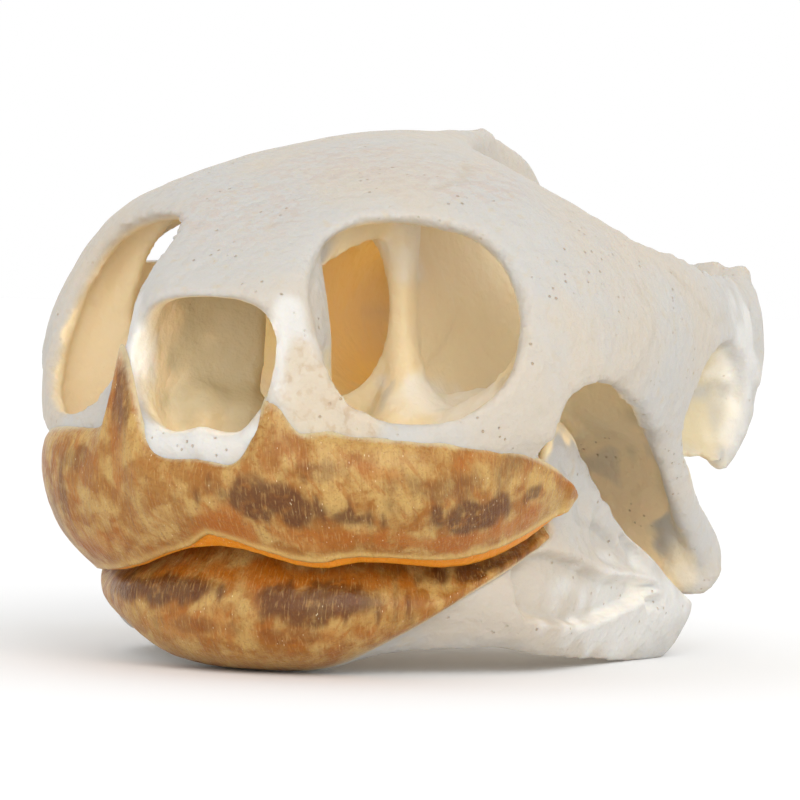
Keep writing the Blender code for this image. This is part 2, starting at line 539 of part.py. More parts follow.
def cranium():
    shell = face_and_roof()
    inside = braincase() + palate() + jaw_joint() + nose_chamber() + orbit_flange()
    whole = fuse("cranium", [shell, fuse("inside", inside)], smooth=2)
    carve(whole, both_sides([ball("ear", *EAR_HOLLOW)]) + [brain_space(), ball("mouth", *MOUTH_HOLLOW)])
    return reduce_to(fuse("cranium", [whole], smooth=2), CRANIUM_TRIANGLES)


def lower_jaw():
    arch = tube("arch", mirrored(JAW_SECTIONS), 150, 28)
    hollows = [ball("side_hollow", *JAW_SIDE_HOLLOW), ball("top_trough", *JAW_TOP_TROUGH)]
    jaw = carve(fuse("lower_jaw", [arch], smooth=1), both_sides(hollows))
    return reduce_to(fuse("lower_jaw", [jaw], smooth=2), JAW_TRIANGLES)


def sheath(name, profiles, edge, rise, triangles):
    """A horn sheath: its outer face, and the chewing shelf that turns in from its cutting edge.

    edge is the profile's index at the cutting edge, and rise is +1 where the shelf climbs from it.
    """
    beak = np.array(profiles)
    face = curved_plate("face", [mirrored(beak[:, k]) for k in range(beak.shape[1])], HORN, 24, 91)
    tips = mirrored(beak[:, edge])
    inward = np.array(MOUTH_MIDDLE) - tips * (1, 1, 0)
    inward /= np.linalg.norm(inward, axis=1, keepdims=True)
    rearward = np.linspace(-1, 1, len(tips))[:, None] ** 4
    width = CHEWING_SHELF * (1 - REAR_NARROWING * rearward)
    under = [tips + share * width * inward + (0, 0, rise * lift) for share, lift in SHELF_PROFILE]
    over = [row - SHELF_SETBACK * inward + (0, 0, rise * HORN) for row in under]
    shelf = plate("shelf", smooth_grid(under, 14, 91), smooth_grid(over, 14, 91))
    return reduce_to(fuse(name, [face, shelf], cell=HORN_CELL, smooth=2), triangles)


def rest(objects):
    """Leans the skull back, and sets its rear feet on the table, FOOT_CUT too low."""
    for obj in objects:
        obj.data.transform(Matrix.Rotation(math.radians(LEAN), 4, "X"))
    lowest = min(v.co.z for v in objects[0].data.vertices if v.co.y > JAW_REAR)
    for obj in objects:
        obj.data.transform(Matrix.Translation((0, 0, -lowest - FOOT_CUT)))


def flat_feet(obj):
    """Cuts obj off level where it stands on the table."""
    reach, depth = 60, 5
    square = ((-reach, -reach), (reach, -reach), (reach, reach), (-reach, reach))
    return carve(obj, [prism("below", square, (0, 0, -depth), ALONG_Z, ALONG_X, ALONG_Y, depth)])


def finish(objects, looks):
    """Gives each solid its material, and moves all to metres round a common centre on the table."""
    spans = [[v.co.y for v in obj.data.vertices] for obj in objects]
    middle = (min(map(min, spans)) + max(map(max, spans))) / 2
    place = Matrix.Scale(MM, 4) @ Matrix.Translation((0, -middle, 0))
    for obj, name, (colour, roughness) in zip(objects, NAMES, looks):
        obj.name = name
        obj.data.transform(place)
        material = bpy.data.materials.new(name)
        material.use_nodes = True
        surface = material.node_tree.nodes["Principled BSDF"]
        surface.inputs["Base Color"].default_value = (*colour, 1)
        surface.inputs["Roughness"].default_value = roughness
        surface.inputs["Metallic"].default_value = 0
        obj.data.materials.clear()
        obj.data.materials.append(material)
        obj.data.shade_smooth()
        obj.data.set_sharp_from_angle(angle=math.radians(SHARP))


def main():
    for obj in list(bpy.data.objects):
        bpy.data.objects.remove(obj)
    upper_horn = sheath("upper_beak_sheath", UPPER_BEAK, -1, 1, UPPER_HORN_TRIANGLES)
    lower_horn = sheath("lower_beak_sheath", LOWER_BEAK, 0, -1, LOWER_HORN_TRIANGLES)
    skull = carve(cranium(), [grown(upper_horn, GAP)])
    jaw = carve(lower_jaw(), [grown(lower_horn, GAP)])
    rest([jaw, lower_horn, upper_horn, skull])
    for obj in (jaw, lower_horn):
        flat_feet(obj)
    ivory = ((0.80, 0.76, 0.68), 0.5)
    amber = ((0.50, 0.24, 0.06), 0.25)
    finish([skull, jaw, upper_horn, lower_horn], [ivory, ivory, amber, amber])


main()
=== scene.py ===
# %% [markdown]
# # A pond turtle skull
#
# A cleaned skull of a pond turtle, with the brown horn of the beak still on both jaws. The bone is thin,
# dry and a little see-through, and the horn is like a fingernail: glossy, fibrous and stained.
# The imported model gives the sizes. This lesson builds finer meshes over its four nodes, gives them
# bone and horn, and sets up a plain studio.

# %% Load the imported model
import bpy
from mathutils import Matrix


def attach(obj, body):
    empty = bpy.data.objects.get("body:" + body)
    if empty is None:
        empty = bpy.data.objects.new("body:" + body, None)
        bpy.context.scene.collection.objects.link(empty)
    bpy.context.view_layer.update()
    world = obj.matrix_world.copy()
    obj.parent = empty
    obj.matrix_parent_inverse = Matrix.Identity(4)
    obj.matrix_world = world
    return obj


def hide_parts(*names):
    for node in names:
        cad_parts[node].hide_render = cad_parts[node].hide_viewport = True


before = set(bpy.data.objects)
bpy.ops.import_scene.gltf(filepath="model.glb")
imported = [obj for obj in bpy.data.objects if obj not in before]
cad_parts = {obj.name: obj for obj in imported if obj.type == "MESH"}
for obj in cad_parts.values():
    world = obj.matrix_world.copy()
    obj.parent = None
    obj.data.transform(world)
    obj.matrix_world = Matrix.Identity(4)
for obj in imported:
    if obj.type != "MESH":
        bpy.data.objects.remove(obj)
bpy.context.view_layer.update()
print("nodes:", sorted(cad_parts))

# %% Modules
import math
import time

import bmesh
import bpy
import numpy as np
from mathutils import Matrix, Vector
from mathutils.bvhtree import BVHTree

MM = 0.001
started = time.time()

# %% [markdown]
# ## The camera
#
# The photograph was taken from low down, from the front and a little to the animal's left, with a long
# lens. A camera could be placed by hand, but three angles and a distance are easier to read and to
# change. One of the angles is a slight roll, because the photographed skull leans a little.

# %% Place the camera
TURN = math.radians(25.982)  # round from straight ahead, towards the animal's left
RISE = math.radians(1.4214)
ROLL = math.radians(-1.3856)
AIM = Vector((1.03, 0, 14.44)) * MM
DISTANCE = 0.26905
LENS = 213.75
NEAREST_SEEN = 0.01

toward = Vector((math.sin(TURN) * math.cos(RISE), -math.cos(TURN) * math.cos(RISE), math.sin(RISE)))
camera = bpy.data.objects.new("camera", bpy.data.cameras.new("camera"))
camera.data.lens = LENS
camera.data.clip_start = NEAREST_SEEN
camera.location = AIM + DISTANCE * toward
upright = toward.to_track_quat("Z", "Y")
camera.rotation_mode = "QUATERNION"
camera.rotation_quaternion = upright @ Matrix.Rotation(-ROLL, 4, "Z").to_quaternion()
bpy.context.scene.collection.objects.link(camera)
bpy.context.scene.camera = camera
print("camera at", [round(v / MM, 1) for v in camera.location], "mm")

# %% [markdown]
# ## A drawing frame
#
# The shapes are drawn in millimetres with the snout's tip at Y 0 and the table near Z 0: X is the
# animal's left, Y runs back and Z is up. Only at the end is a finished mesh leaned back, moved to the
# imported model's place and scaled to metres. This keeps every number in the lesson a plain size.

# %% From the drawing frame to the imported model's
LEAN = math.radians(1.2)
SHIFT = Vector((0, -21.2973, 0.0529))
TO_MODEL = Matrix.Scale(MM, 4) @ Matrix.Translation(SHIFT) @ Matrix.Rotation(LEAN, 4, "X")
print("the snout's tip lands at", [round(v, 5) for v in TO_MODEL @ Vector((0, 0, 10))])

# %% [markdown]
# ## Curves and skins
#
# Bones are smooth, so a few points with a smooth curve through them say more than many points by hand.
# Blender's own curves could do this, but a small spline function works on whole grids of points at
# once, and gives back as many as the mesh needs.

# %% A smooth curve through points
def spline(points, count, closed=False):
    p = np.asarray(points, float)
    n = len(p)
    system = 4 * np.eye(n) + np.eye(n, k=1) + np.eye(n, k=-1)
    bend = 6 * (np.roll(p, -1, 0) - 2 * p + np.roll(p, 1, 0))
    if closed:
        system[0, -1] = system[-1, 0] = 1
    else:
        system[0] = system[-1] = 0
        system[0, 0] = system[-1, -1] = 1
        bend[0] = bend[-1] = 0
    m = np.linalg.solve(system, bend.reshape(n, -1)).reshape(p.shape)
    spans = n if closed else n - 1
    t = np.linspace(0, spans, count, endpoint=not closed)
    i = np.minimum(t.astype(int), spans - 1)
    u = (t - i).reshape((-1,) + (1,) * (p.ndim - 1))
    j = (i + 1) % n
    ends = m[i] * (1 - u) ** 3 / 6 + m[j] * u**3 / 6
    return ends + (p[i] - m[i] / 6) * (1 - u) + (p[j] - m[j] / 6) * u


# %% Both ways across a grid, and mirrored to the right side
def smooth_grid(rows, rows_out, columns_out):
    down = spline(rows, rows_out)
    return spline(down.transpose(1, 0, 2), columns_out).transpose(1, 0, 2)


def mirrored(half, wider=1.0):
    left = np.asarray(half, float)
    return np.concatenate([left[:0:-1] * (-wider, 1, 1), left])


# %% A mesh from points and faces
def new_object(name, vertices, faces):
    mesh = bpy.data.meshes.new(name)
    mesh.from_pydata([tuple(map(float, v)) for v in vertices], [], [tuple(map(int, f)) for f in faces])
    shape = bmesh.new()
    shape.from_mesh(mesh)
    bmesh.ops.recalc_face_normals(shape, faces=shape.faces)
    shape.to_mesh(mesh)
    shape.free()
    return linked(name, mesh)


def linked(name, mesh):
    obj = bpy.data.objects.new(name, mesh)
    bpy.context.scene.collection.objects.link(obj)
    return obj


# %% [markdown]
# ## Plates, limbs and balls
#
# A skull is mostly thin curved plates and rounded bars. Four kinds of solid are enough here: a plate
# between two sheets of points, a tube lofted through rings, an ellipsoid, and an outline swept straight, to
# cut with. Sculpting could give the same forms, but it can't be read or changed afterwards.

# %% A plate: a sheet of points, thickened towards the middle of the skull
SKULL_MIDDLE = (0, 18, 14)


def normals_of(grid):
    out = np.cross(np.gradient(grid, axis=0), np.gradient(grid, axis=1))
    out /= np.maximum(np.linalg.norm(out, axis=2, keepdims=True), 1e-9)
    return out if ((grid - SKULL_MIDDLE) * out).sum() > 0 else -out


def plate(name, outer, inner):
    rows, columns = outer.shape[:2]
    size = rows * columns
    index = np.arange(size).reshape(rows, columns)
    a, b, c, d = index[:-1, :-1], index[:-1, 1:], index[1:, 1:], index[1:, :-1]
    front = np.stack([a, b, c, d], -1).reshape(-1, 4)
    rim = np.concatenate([index[0, :-1], index[:-1, -1], index[-1, :0:-1], index[:0:-1, 0]])
    after = np.roll(rim, -1)
    sides = np.stack([after, rim, rim + size, after + size], -1)
    faces = np.concatenate([front, front[:, ::-1] + size, sides])
    return new_object(name, np.concatenate([outer.reshape(-1, 3), inner.reshape(-1, 3)]), faces)


def curved_plate(name, rows, thickness, rows_out, columns_out, below=0.0):
    grid = smooth_grid(rows, rows_out, columns_out)
    out = normals_of(grid)
    return plate(name, grid - below * out, grid - (below + thickness) * out)


# %% A solid lofted through rings, and a tube smoothed through a few of them
def loft(name, rings):
    steps, sides = rings.shape[:2]
    low = np.arange((steps - 1) * sides).reshape(steps - 1, sides)
    beside = np.roll(low, -1, axis=1)
    faces = np.stack([low, beside, beside + sides, low + sides], -1).reshape(-1, 4).tolist()
    ends = [range(sides), range((steps - 1) * sides, steps * sides)]
    return new_object(name, rings.reshape(-1, 3), faces + ends)


def tube(name, rings, steps=32, sides=32):
    return loft(name, spline(np.array([spline(ring, sides, closed=True) for ring in rings]), steps))


# %% A limb through ovals: each has a centre and its half axes across and up
ALONG_X, ALONG_Y, ALONG_Z = (1, 0, 0), (0, 1, 0), (0, 0, 1)


def oval(centre, across, up, corners=8):
    turns = [2 * math.pi * k / corners for k in range(corners)]
    return [np.add(centre, math.cos(a) * np.array(across) + math.sin(a) * np.array(up)) for a in turns]


def limb(name, stations, steps=28, sides=24):
    return tube(name, [oval(*station) for station in stations], steps, sides)


def facing(across, up, rows):  # rows of (x, y, z, half size across, half size up)
    return [((x, y, z), np.multiply(a, across), np.multiply(b, up)) for x, y, z, a, b in rows]


# %% An ellipsoid, and an outline swept along a direction
def from_shape(name, shape):
    mesh = bpy.data.meshes.new(name)
    shape.to_mesh(mesh)
    shape.free()
    return linked(name, mesh)


def ball(name, centre, radii, smoothness=5):
    shape = bmesh.new()
    bmesh.ops.create_icosphere(shape, subdivisions=smoothness, radius=1)
    place = Matrix.Translation(centre) @ Matrix.Diagonal((*radii, 1))
    bmesh.ops.transform(shape, matrix=place, verts=shape.verts)
    return from_shape(name, shape)


def prism(name, outline, origin, along, right, up, depth, points=120):
    edge = spline(outline, points, closed=True)
    near = np.array(origin) + edge[:, :1] * np.array(right) + edge[:, 1:] * np.array(up)
    far = near + depth * np.array(along)
    k = np.arange(points)
    after = np.roll(k, -1)
    sides = np.stack([k, after, after + points, k + points], -1).tolist()
    return new_object(name, np.concatenate([near, far]), sides + [k, k + points])


# %% The animal's other side
def both_sides(objects):
    twins = []
    for obj in objects:
        twin = linked(obj.name, obj.data.copy())
        twin.data.transform(Matrix.Diagonal((-1, 1, 1, 1)))
        twin.data.flip_normals()
        twins.append(twin)
    return objects + twins


# %% [markdown]
# ## Joining and cutting
#
# The bones of a grown skull have joined into one. A Boolean union would do that too, but it leaves a sharp
# corner wherever two of them meet. So the overlapping solids are given one new skin by the Remesh modifier,
# and a little smoothing then rounds every corner, as on real bone. Openings such as the eye socket are cut
# with a Boolean before that, so their rims are rounded too.

# %% One skin round overlapping solids
def apply_modifiers(obj):
    graph = bpy.context.evaluated_depsgraph_get()
    done = bpy.data.meshes.new_from_object(obj.evaluated_get(graph))
    obj.modifiers.clear()
    obj.data = done
    return obj


def fuse(name, objects, cell, smooth=2):
    shape = bmesh.new()
    for obj in objects:
        shape.from_mesh(obj.data)
        bpy.data.objects.remove(obj)
    whole = from_shape(name, shape)
    skin = whole.modifiers.new("skin", "REMESH")
    skin.mode = "VOXEL"
    skin.voxel_size = cell
    soft = whole.modifiers.new("soft", "SMOOTH")
    soft.iterations = smooth
    return main_body_only(apply_modifiers(whole))


# %% Drop crumbs and inner bubbles
def main_body_only(obj):
    mesh = obj.data
    count = len(mesh.vertices)
    ends = np.empty(2 * len(mesh.edges), np.int32)
    mesh.edges.foreach_get("vertices", ends)
    ends = ends.reshape(-1, 2)
    label = np.arange(count)
    while True:
        low = np.minimum(label[ends[:, 0]], label[ends[:, 1]])
        before = label.copy()
        np.minimum.at(label, ends[:, 0], low)
        np.minimum.at(label, ends[:, 1], low)
        label = label[label]
        if (label == before).all():
            break
    names, sizes = np.unique(label, return_counts=True)
    crumbs = np.flatnonzero(label != names[sizes.argmax()])
    shape = bmesh.new()
    shape.from_mesh(mesh)
    shape.verts.ensure_lookup_table()
    bmesh.ops.delete(shape, geom=[shape.verts[i] for i in crumbs], context="VERTS")
    shape.to_mesh(mesh)
    shape.free()
    return obj


# %% Cut with closed solids
def carve(obj, cutters, keep=False):
    for cutter in cutters:
        cut = obj.modifiers.new("cut", "BOOLEAN")
        cut.operation = "DIFFERENCE"
        cut.solver = "MANIFOLD"
        cut.object = cutter
        apply_modifiers(obj)
        if not keep:
            bpy.data.objects.remove(cutter)
    return obj


def triangles(obj):
    return sum(len(p.vertices) - 2 for p in obj.data.polygons)


def tell(*objects):
    print(", ".join(f"{obj.name}: {triangles(obj)} triangles" for obj in objects))


# %% Read and move the points of a mesh
def places_of(obj):
    places = np.empty(3 * len(obj.data.vertices), np.float32)
    obj.data.vertices.foreach_get("co", places)
    return places.reshape(-1, 3).astype(float)


def directions_of(obj):
    out = np.empty(3 * len(obj.data.vertices), np.float32)
    obj.data.vertex_normals.foreach_get("vector", out)
    return out.reshape(-1, 3).astype(float)


def move_to(obj, places):
    obj.data.vertices.foreach_set("co", places.astype(np.float32).ravel())
    obj.data.update()


# %% Steps with soft edges, and a lumpy noise that is the same each run
LUMPS_A_SIDE = 64  # after so many the noise repeats
START_AT = 1000


def smooth_step(value):
    t = np.clip(value, 0, 1)
    return t * t * (3 - 2 * t)


def lumps(places, size, seed):
    table = np.random.default_rng(seed).uniform(-1, 1, (LUMPS_A_SIDE,) * 3)
    scaled = places / size + START_AT
    low = np.floor(scaled).astype(int)
    share = smooth_step(scaled - low)
    total = np.zeros(len(places))
    for corner in np.ndindex(2, 2, 2):
        weight = np.prod(np.where(corner, share, 1 - share), axis=1)
        total += weight * table[tuple(((low + corner) % LUMPS_A_SIDE).T)]
    return total


def layers_of_lumps(places, layers, seed):  # layers of (height, squeeze, size)
    return sum(
        height * lumps(places * squeeze, size, seed + k) for k, (height, squeeze, size) in enumerate(layers)
    )


# %% How far inside a flat outline each point lies
def inside_by(flat, outline):
    nearest = np.full(len(flat), np.inf)
    inside = np.zeros(len(flat), bool)
    corners = np.array(outline, float)
    for a, b in zip(corners, np.roll(corners, -1, 0)):
        run = b - a
        share = np.clip(((flat - a) @ run) / (run @ run), 0, 1)
        nearest = np.minimum(nearest, np.linalg.norm(flat - a - share[:, None] * run, axis=1))
        crosses = (a[1] > flat[:, 1]) != (b[1] > flat[:, 1])
        rise = b[1] - a[1] if b[1] != a[1] else 1
        inside ^= crosses & (flat[:, 0] < a[0] + (flat[:, 1] - a[1]) * run[0] / rise)
    return np.where(inside, nearest, -nearest)


# %% Press a shape seen from the side into both flanks of a piece
FLANK_FROM, FLANK_OVER = 0.15, 0.3  # how far outward a face must look to be pressed


def press(obj, outline, depth, soft):
    places = places_of(obj)
    out = directions_of(obj)
    flank = smooth_step((out[:, 0] * np.sign(places[:, 0]) - FLANK_FROM) / FLANK_OVER)
    share = smooth_step(inside_by(places[:, 1:], outline) / soft + 0.5)
    places[:, 0] -= depth * share * flank * np.sign(places[:, 0])
    move_to(obj, places)


# %% [markdown]
# ## The roof and the face
#
# Roof, face and cheeks are one thin curved plate on the real skull. It is drawn as half rings from the
# nose opening to the back of the head, each running from the midline of the roof down the left side,
# and mirrored. One surface through rings keeps the long flowing lines that separate patches would lose.

# %% Half rings of the roof and the face
BONE = 1.1
VAULT_RINGS = (
    ((0, 1.3, 19.4), (2.1, 1.3, 19.2), (3.2, 1.3, 18.3), (3.6, 1.2, 17.0),
     (3.6, 1.0, 15.6), (3.1, 0.8, 14.3), (2.2, 0.7, 13.5)),
    ((0, 0.2, 20.2), (2.7, 0.2, 20.0), (3.9, 0.3, 18.8), (4.3, 0.2, 17.2),
     (4.3, 0.0, 15.6), (3.8, -0.2, 14.2), (2.7, -0.3, 12.9)),
    ((0, 1.5, 21.3), (3.0, 1.5, 21.2), (4.7, 1.7, 20.2), (5.3, 1.8, 18.4),
     (5.6, 1.6, 16.2), (5.7, 1.2, 14.2), (5.2, 0.6, 12.4)),
    ((0, 4.2, 23.1), (3.4, 4.2, 23.0), (5.8, 4.1, 21.8), (7.2, 3.7, 19.6),
     (8.0, 3.2, 17.2), (8.5, 2.8, 14.8), (8.6, 2.2, 12.6)),
    ((0, 8.2, 25.3), (4.2, 8.2, 25.2), (7.4, 8.5, 24.4), (9.9, 8.0, 22.0),
     (11.6, 6.9, 18.6), (12.3, 5.8, 15.2), (12.0, 5.0, 12.4)),
    ((0, 13.2, 27.5), (4.4, 12.9, 27.1), (8.4, 12.6, 26.2), (12.5, 12.5, 23.9),
     (15.1, 12.1, 20.0), (15.9, 11.3, 16.0), (15.2, 10.2, 12.5)),
    ((0, 19, 28.9), (4.5, 18.8, 28.3), (8.9, 18.3, 26.8), (13.5, 17.6, 24.2),
     (16.4, 16.9, 20.4), (17.1, 16.0, 16.0), (16.2, 15, 12.4)),
    ((0, 25.5, 29.3), (3.6, 25.5, 28.2), (8, 25.5, 26.2), (12.6, 25.2, 24.4),
     (16.0, 24.9, 21.9), (17.3, 24.0, 17.6), (16.2, 22.5, 12.6)),
    ((0, 31.6, 29.4), (2.6, 31.8, 27.9), (7, 32.5, 25.0), (12.0, 32.6, 23.3),
     (15.3, 31.8, 21.2), (16.6, 30.9, 17.2), (15.4, 29.5, 11.4)),
    ((0, 34.6, 29.7), (1.6, 35.2, 28.0), (6, 39.2, 23.5), (12.6, 41.2, 21.6),
     (14.8, 40.8, 19.3), (15.1, 40.2, 15.4), (13.7, 39.6, 9.8)),
)
RIGHT_WIDER = 1.02
whole_vault = [mirrored(ring, RIGHT_WIDER) for ring in VAULT_RINGS]
roof = curved_plate("roof", whole_vault, BONE, rows_out=150, columns_out=161)
tell(roof)

# %% [markdown]
# ## The upper jaw's rim
#
# Under the horn the upper jaw has a thick rim of bone. The horn's outer face is drawn first, as upright
# profiles from the midline back to the corner of the mouth, and the bone follows it a little further in.
# That way the horn stands just proud of the bone that it grows on, whatever its outline.

# %% Upright profiles of the upper beak, from the horn's upper border down to the cutting edge
UPPER_BEAK = (
    ((0, -0.45, 11.7), (0, -0.75, 10.5), (0, -0.3, 9.0), (0, 0.7, 7.7), (0, 2.0, 6.6)),
    ((2.4, -0.3, 11.9), (2.5, -0.75, 10.7), (2.5, -0.3, 9.1), (2.4, 0.75, 7.6), (2.4, 2.0, 6.3)),
    ((3.75, 0.25, 15.3), (4.1, -0.4, 11.9), (4.2, -0.1, 9.4), (4.1, 1.0, 7.5), (3.9, 2.3, 5.9)),
    ((5.2, 0.5, 13.4), (5.4, 0.2, 12.0), (5.5, 0.2, 10.4), (5.4, 1.2, 7.7), (5.0, 2.7, 5.7)),
    ((6.2, 0.9, 13.3), (6.6, 0.5, 11.8), (6.8, 0.6, 10.0), (6.6, 1.6, 7.8), (6.2, 3.2, 5.7)),
    ((7.6, 1.9, 13.1), (7.9, 1.2, 11.9), (8.1, 1.2, 10.1), (7.8, 2.2, 7.8), (7.2, 4.0, 5.9)),
    ((9.9, 2.8, 12.9), (10.2, 2.3, 11.7), (10.4, 2.5, 10.0), (10.0, 3.7, 7.8), (9.1, 5.8, 5.8)),
    ((12.4, 5.3, 12.6), (12.6, 5.0, 11.4), (12.6, 5.3, 9.9), (12.1, 6.5, 7.8), (11.0, 8.7, 5.6)),
    ((14.2, 8.9, 12.1), (14.1, 8.7, 11.0), (13.9, 9.0, 9.7), (13.4, 10.0, 8.0), (12.5, 11.5, 6.3)),
    ((15.0, 11.8, 11.2), (14.8, 11.6, 10.5), (14.6, 11.8, 9.6), (14.1, 12.4, 8.5), (13.5, 13.4, 7.3)),
    ((15.1, 13.6, 10.4), (15.0, 13.6, 10.0), (14.8, 13.8, 9.5), (14.5, 14.1, 8.9), (14.1, 14.6, 8.2)),
    ((14.9, 14.9, 9.7), (14.8, 15.0, 9.6), (14.7, 15.1, 9.4), (14.5, 15.2, 9.2), (14.3, 15.4, 9.0)),
)
RIGHT_DROOP = np.array([0, 0, 0.1, 0.3, 0.6, 1.0, 1.1, 0.9, 0.6, 0.3, 0, 0])  # one for each profile
RIGHT_SPIKE = np.zeros((len(UPPER_BEAK), 3))  # the right spike is taller and further out than the left one
RIGHT_SPIKE[2:5] = ((-0.2, -0.45, -0.4), (-0.3, 0.15, 4.0), (0, -0.1, 1.0))
DROOP_DOWN = (0, 0.15, 0.55, 0.95, 1.0)  # how much of it reaches each point of a profile
SPIKE_DOWN = (1.0, 0.35, 0, 0, 0)


def horn_face(profiles, face_rows, columns, droop=False):
    controls = np.array(profiles)
    rows = np.array([mirrored(controls[:, k]) for k in range(controls.shape[1])])
    if droop:
        count = len(profiles)
        rows[:, :count - 1] += np.multiply.outer(SPIKE_DOWN, RIGHT_SPIKE[count - 1:0:-1])
        rows[:, :count - 1, 2] -= np.outer(DROOP_DOWN, RIGHT_DROOP[count - 1:0:-1])
    return smooth_grid(rows, face_rows, columns)


upper_face = horn_face(UPPER_BEAK, face_rows=84, columns=361, droop=True)
print("upper horn: widest", round(2 * upper_face[..., 0].max(), 1), "mm")

# %% The bone under it
HORN_PROUD = 0.14
MUZZLE_BONE = 2.1
under = horn_face(UPPER_BEAK[:-1], face_rows=40, columns=181, droop=True)
under_out = normals_of(under)
rim = plate("rim", under - HORN_PROUD * under_out, under - (HORN_PROUD + MUZZLE_BONE) * under_out)
tell(rim)

# %% How a beak turns in at its cutting edge, to a chewing shelf
CHEWING_SHELF = 4.4
MOUTH_MIDDLE = (0, 15, 0)
SHELF_PROFILE = ((0.05, 0.25), (0.16, 1.0), (0.4, 2.0), (0.7, 2.5), (1.0, 2.6))  # (share of width, lift)
REAR_NARROWING = 0.93


def inward_from(tips):
    inward = np.array(MOUTH_MIDDLE) - tips * (1, 1, 0)
    return inward / np.linalg.norm(inward, axis=1, keepdims=True)


def toward_rear(columns):
    return 1 - REAR_NARROWING * np.abs(np.linspace(-1, 1, columns))[:, None] ** 3


def shelf_rows(tips, rise):
    full = toward_rear(len(tips))
    width = CHEWING_SHELF * full * inward_from(tips)
    up = np.array((0, 0, rise)) * full
    return [tips + share * width + lift * up for share, lift in SHELF_PROFILE]


# %% Two cutters that keep bone from showing through the horn
BED = 0.5  # depth of the bone under the horn's face
BED_AT_BORDER = 0.3
BORDER_SHARE = 0.03  # the strip of the horn at its border that stays on the bone
COARSE = 3  # the cutters use every third point of the horn's face
SHELF_ROWS = 16
MOUTH_RUN_OUT, MOUTH_LIFT, MOUTH_HEIGHT = 1.5, 0.1, 3.2


def bed_cutter(face):
    covered = face[int(BORDER_SHARE * len(face))::COARSE, ::COARSE]
    out = normals_of(covered)
    deep = np.linspace(BED_AT_BORDER, BED, len(covered))[:, None, None]
    return plate("bed", covered + out, covered - deep * out)


def mouth_cutter(face, rise):
    tips = face[-1, ::COARSE]
    lift = (0, 0, rise * MOUTH_LIFT)
    before = tips - MOUTH_RUN_OUT * inward_from(tips) + lift
    near = spline([before, tips + lift] + shelf_rows(tips, rise), SHELF_ROWS) + (0, 0, rise * BED)
    return plate("mouth", near, near - (0, 0, rise * MOUTH_HEIGHT))


# %% [markdown]
# ## Openings
#
# The eye sockets, the gap in each cheek and the big openings of the temples have smooth outlines of their
# own. The roof could be drawn with holes in it, but its rings are too few to follow them, so the outlines
# are swept straight through the plate and cut. The eye's lies in a plane that looks out and up, like the eye
# did. On this skull the bar beside the right temple dips, so that light shows through the far socket.

# %% The eye sockets
ORBIT_CENTRE = (9.2, 6.3, 18.7)
ORBIT_TURN = math.radians(42.0)
ORBIT_TILT = math.radians(14.0)
ORBIT_BEHIND = 4
ORBIT_SWEEP = 16
ORBIT_OUTLINE = (
    (-5.7, 1.9), (-4.7, 4.2), (-2.6, 5.8), (0.1, 6.1), (3.2, 5.4), (5.1, 3.8), (5.9, 1.1),
    (5.5, -1.5), (4.5, -3.5), (2.0, -5.2), (-1.0, -5.6), (-3.7, -4.6), (-5.0, -2.1), (-5.6, 0.2),
)
ahead, aside = math.cos(ORBIT_TURN), math.sin(ORBIT_TURN)
level = math.cos(ORBIT_TILT)
look = np.array([aside * level, -ahead * level, math.sin(ORBIT_TILT)])
orbit_right = np.array([ahead, aside, 0])
orbit_up = np.cross(look, orbit_right)
orbit_start = np.array(ORBIT_CENTRE) - ORBIT_BEHIND * look
orbit = prism("orbit", ORBIT_OUTLINE, orbit_start, look, orbit_right, orbit_up, ORBIT_SWEEP)
print("the eye looked along", look.round(2))

# %% Outlines of the cheek, the temple and the nose
CHEEK_OUTLINE = (  # (Y, Z)
    (18.0, 4.0), (16.9, 7.2), (15.4, 8.8), (13.6, 9.8), (12.2, 10.7), (11.3, 12.0), (11.1, 13.3), (11.5, 14.5),
    (12.7, 15.4), (14.5, 15.6), (16.5, 15.3), (18.2, 14.6), (20.4, 13.9), (22.3, 12.9), (24.6, 11.1),
    (27.3, 9.2), (29.4, 7.8), (31.4, 6.6), (33.2, 5.2), (35.0, 3.6),
)
TEMPLE_OUTLINE = (  # (X, Y)
    (0.9, 33.6), (1.5, 30.0), (2.9, 27.0), (5.3, 24.2), (8.2, 22.3), (11.2, 21.6), (13.6, 22.4),
    (14.9, 24.8), (15.1, 28.0), (14.7, 32.0), (14.1, 36.5), (13.6, 41.5), (12.3, 46), (5, 48), (1.6, 46),
    (1.1, 40),
)
DIP_OUTLINE = (  # (X, Y), on the right only
    (-12.4, 21.4), (-14.6, 20.2), (-17.2, 20.6), (-18.4, 24.0), (-17.6, 28.0), (-15.8, 30.2), (-13.6, 28.6),
    (-12.4, 25.0),
)
NOSE_OUTLINE = (  # (X, Z)
    (-4.5, 16.0), (-4.4, 17.6), (-3.8, 19.0), (-2.4, 19.8), (0, 20.0), (2.4, 19.7), (3.7, 18.7),
    (4.0, 17.2), (3.7, 15.8), (3.2, 14.4), (2.5, 13.2), (0.9, 12.8), (-0.2, 13.1), (-1.4, 12.8),
    (-2.9, 13.2), (-4.0, 14.4),
)
NOSE_START, NOSE_DEPTH = (0, -2, 0), 5.5
CHEEK_START, CHEEK_DEPTH = (11, 0, 0), 9
TEMPLE_START, DIP_START, TEMPLE_DEPTH = (0, 0, 20.5), (0, 0, 21.5), 12
print("cheek opening:", round(max(CHEEK_OUTLINE)[0] - min(CHEEK_OUTLINE)[0], 1), "mm long")

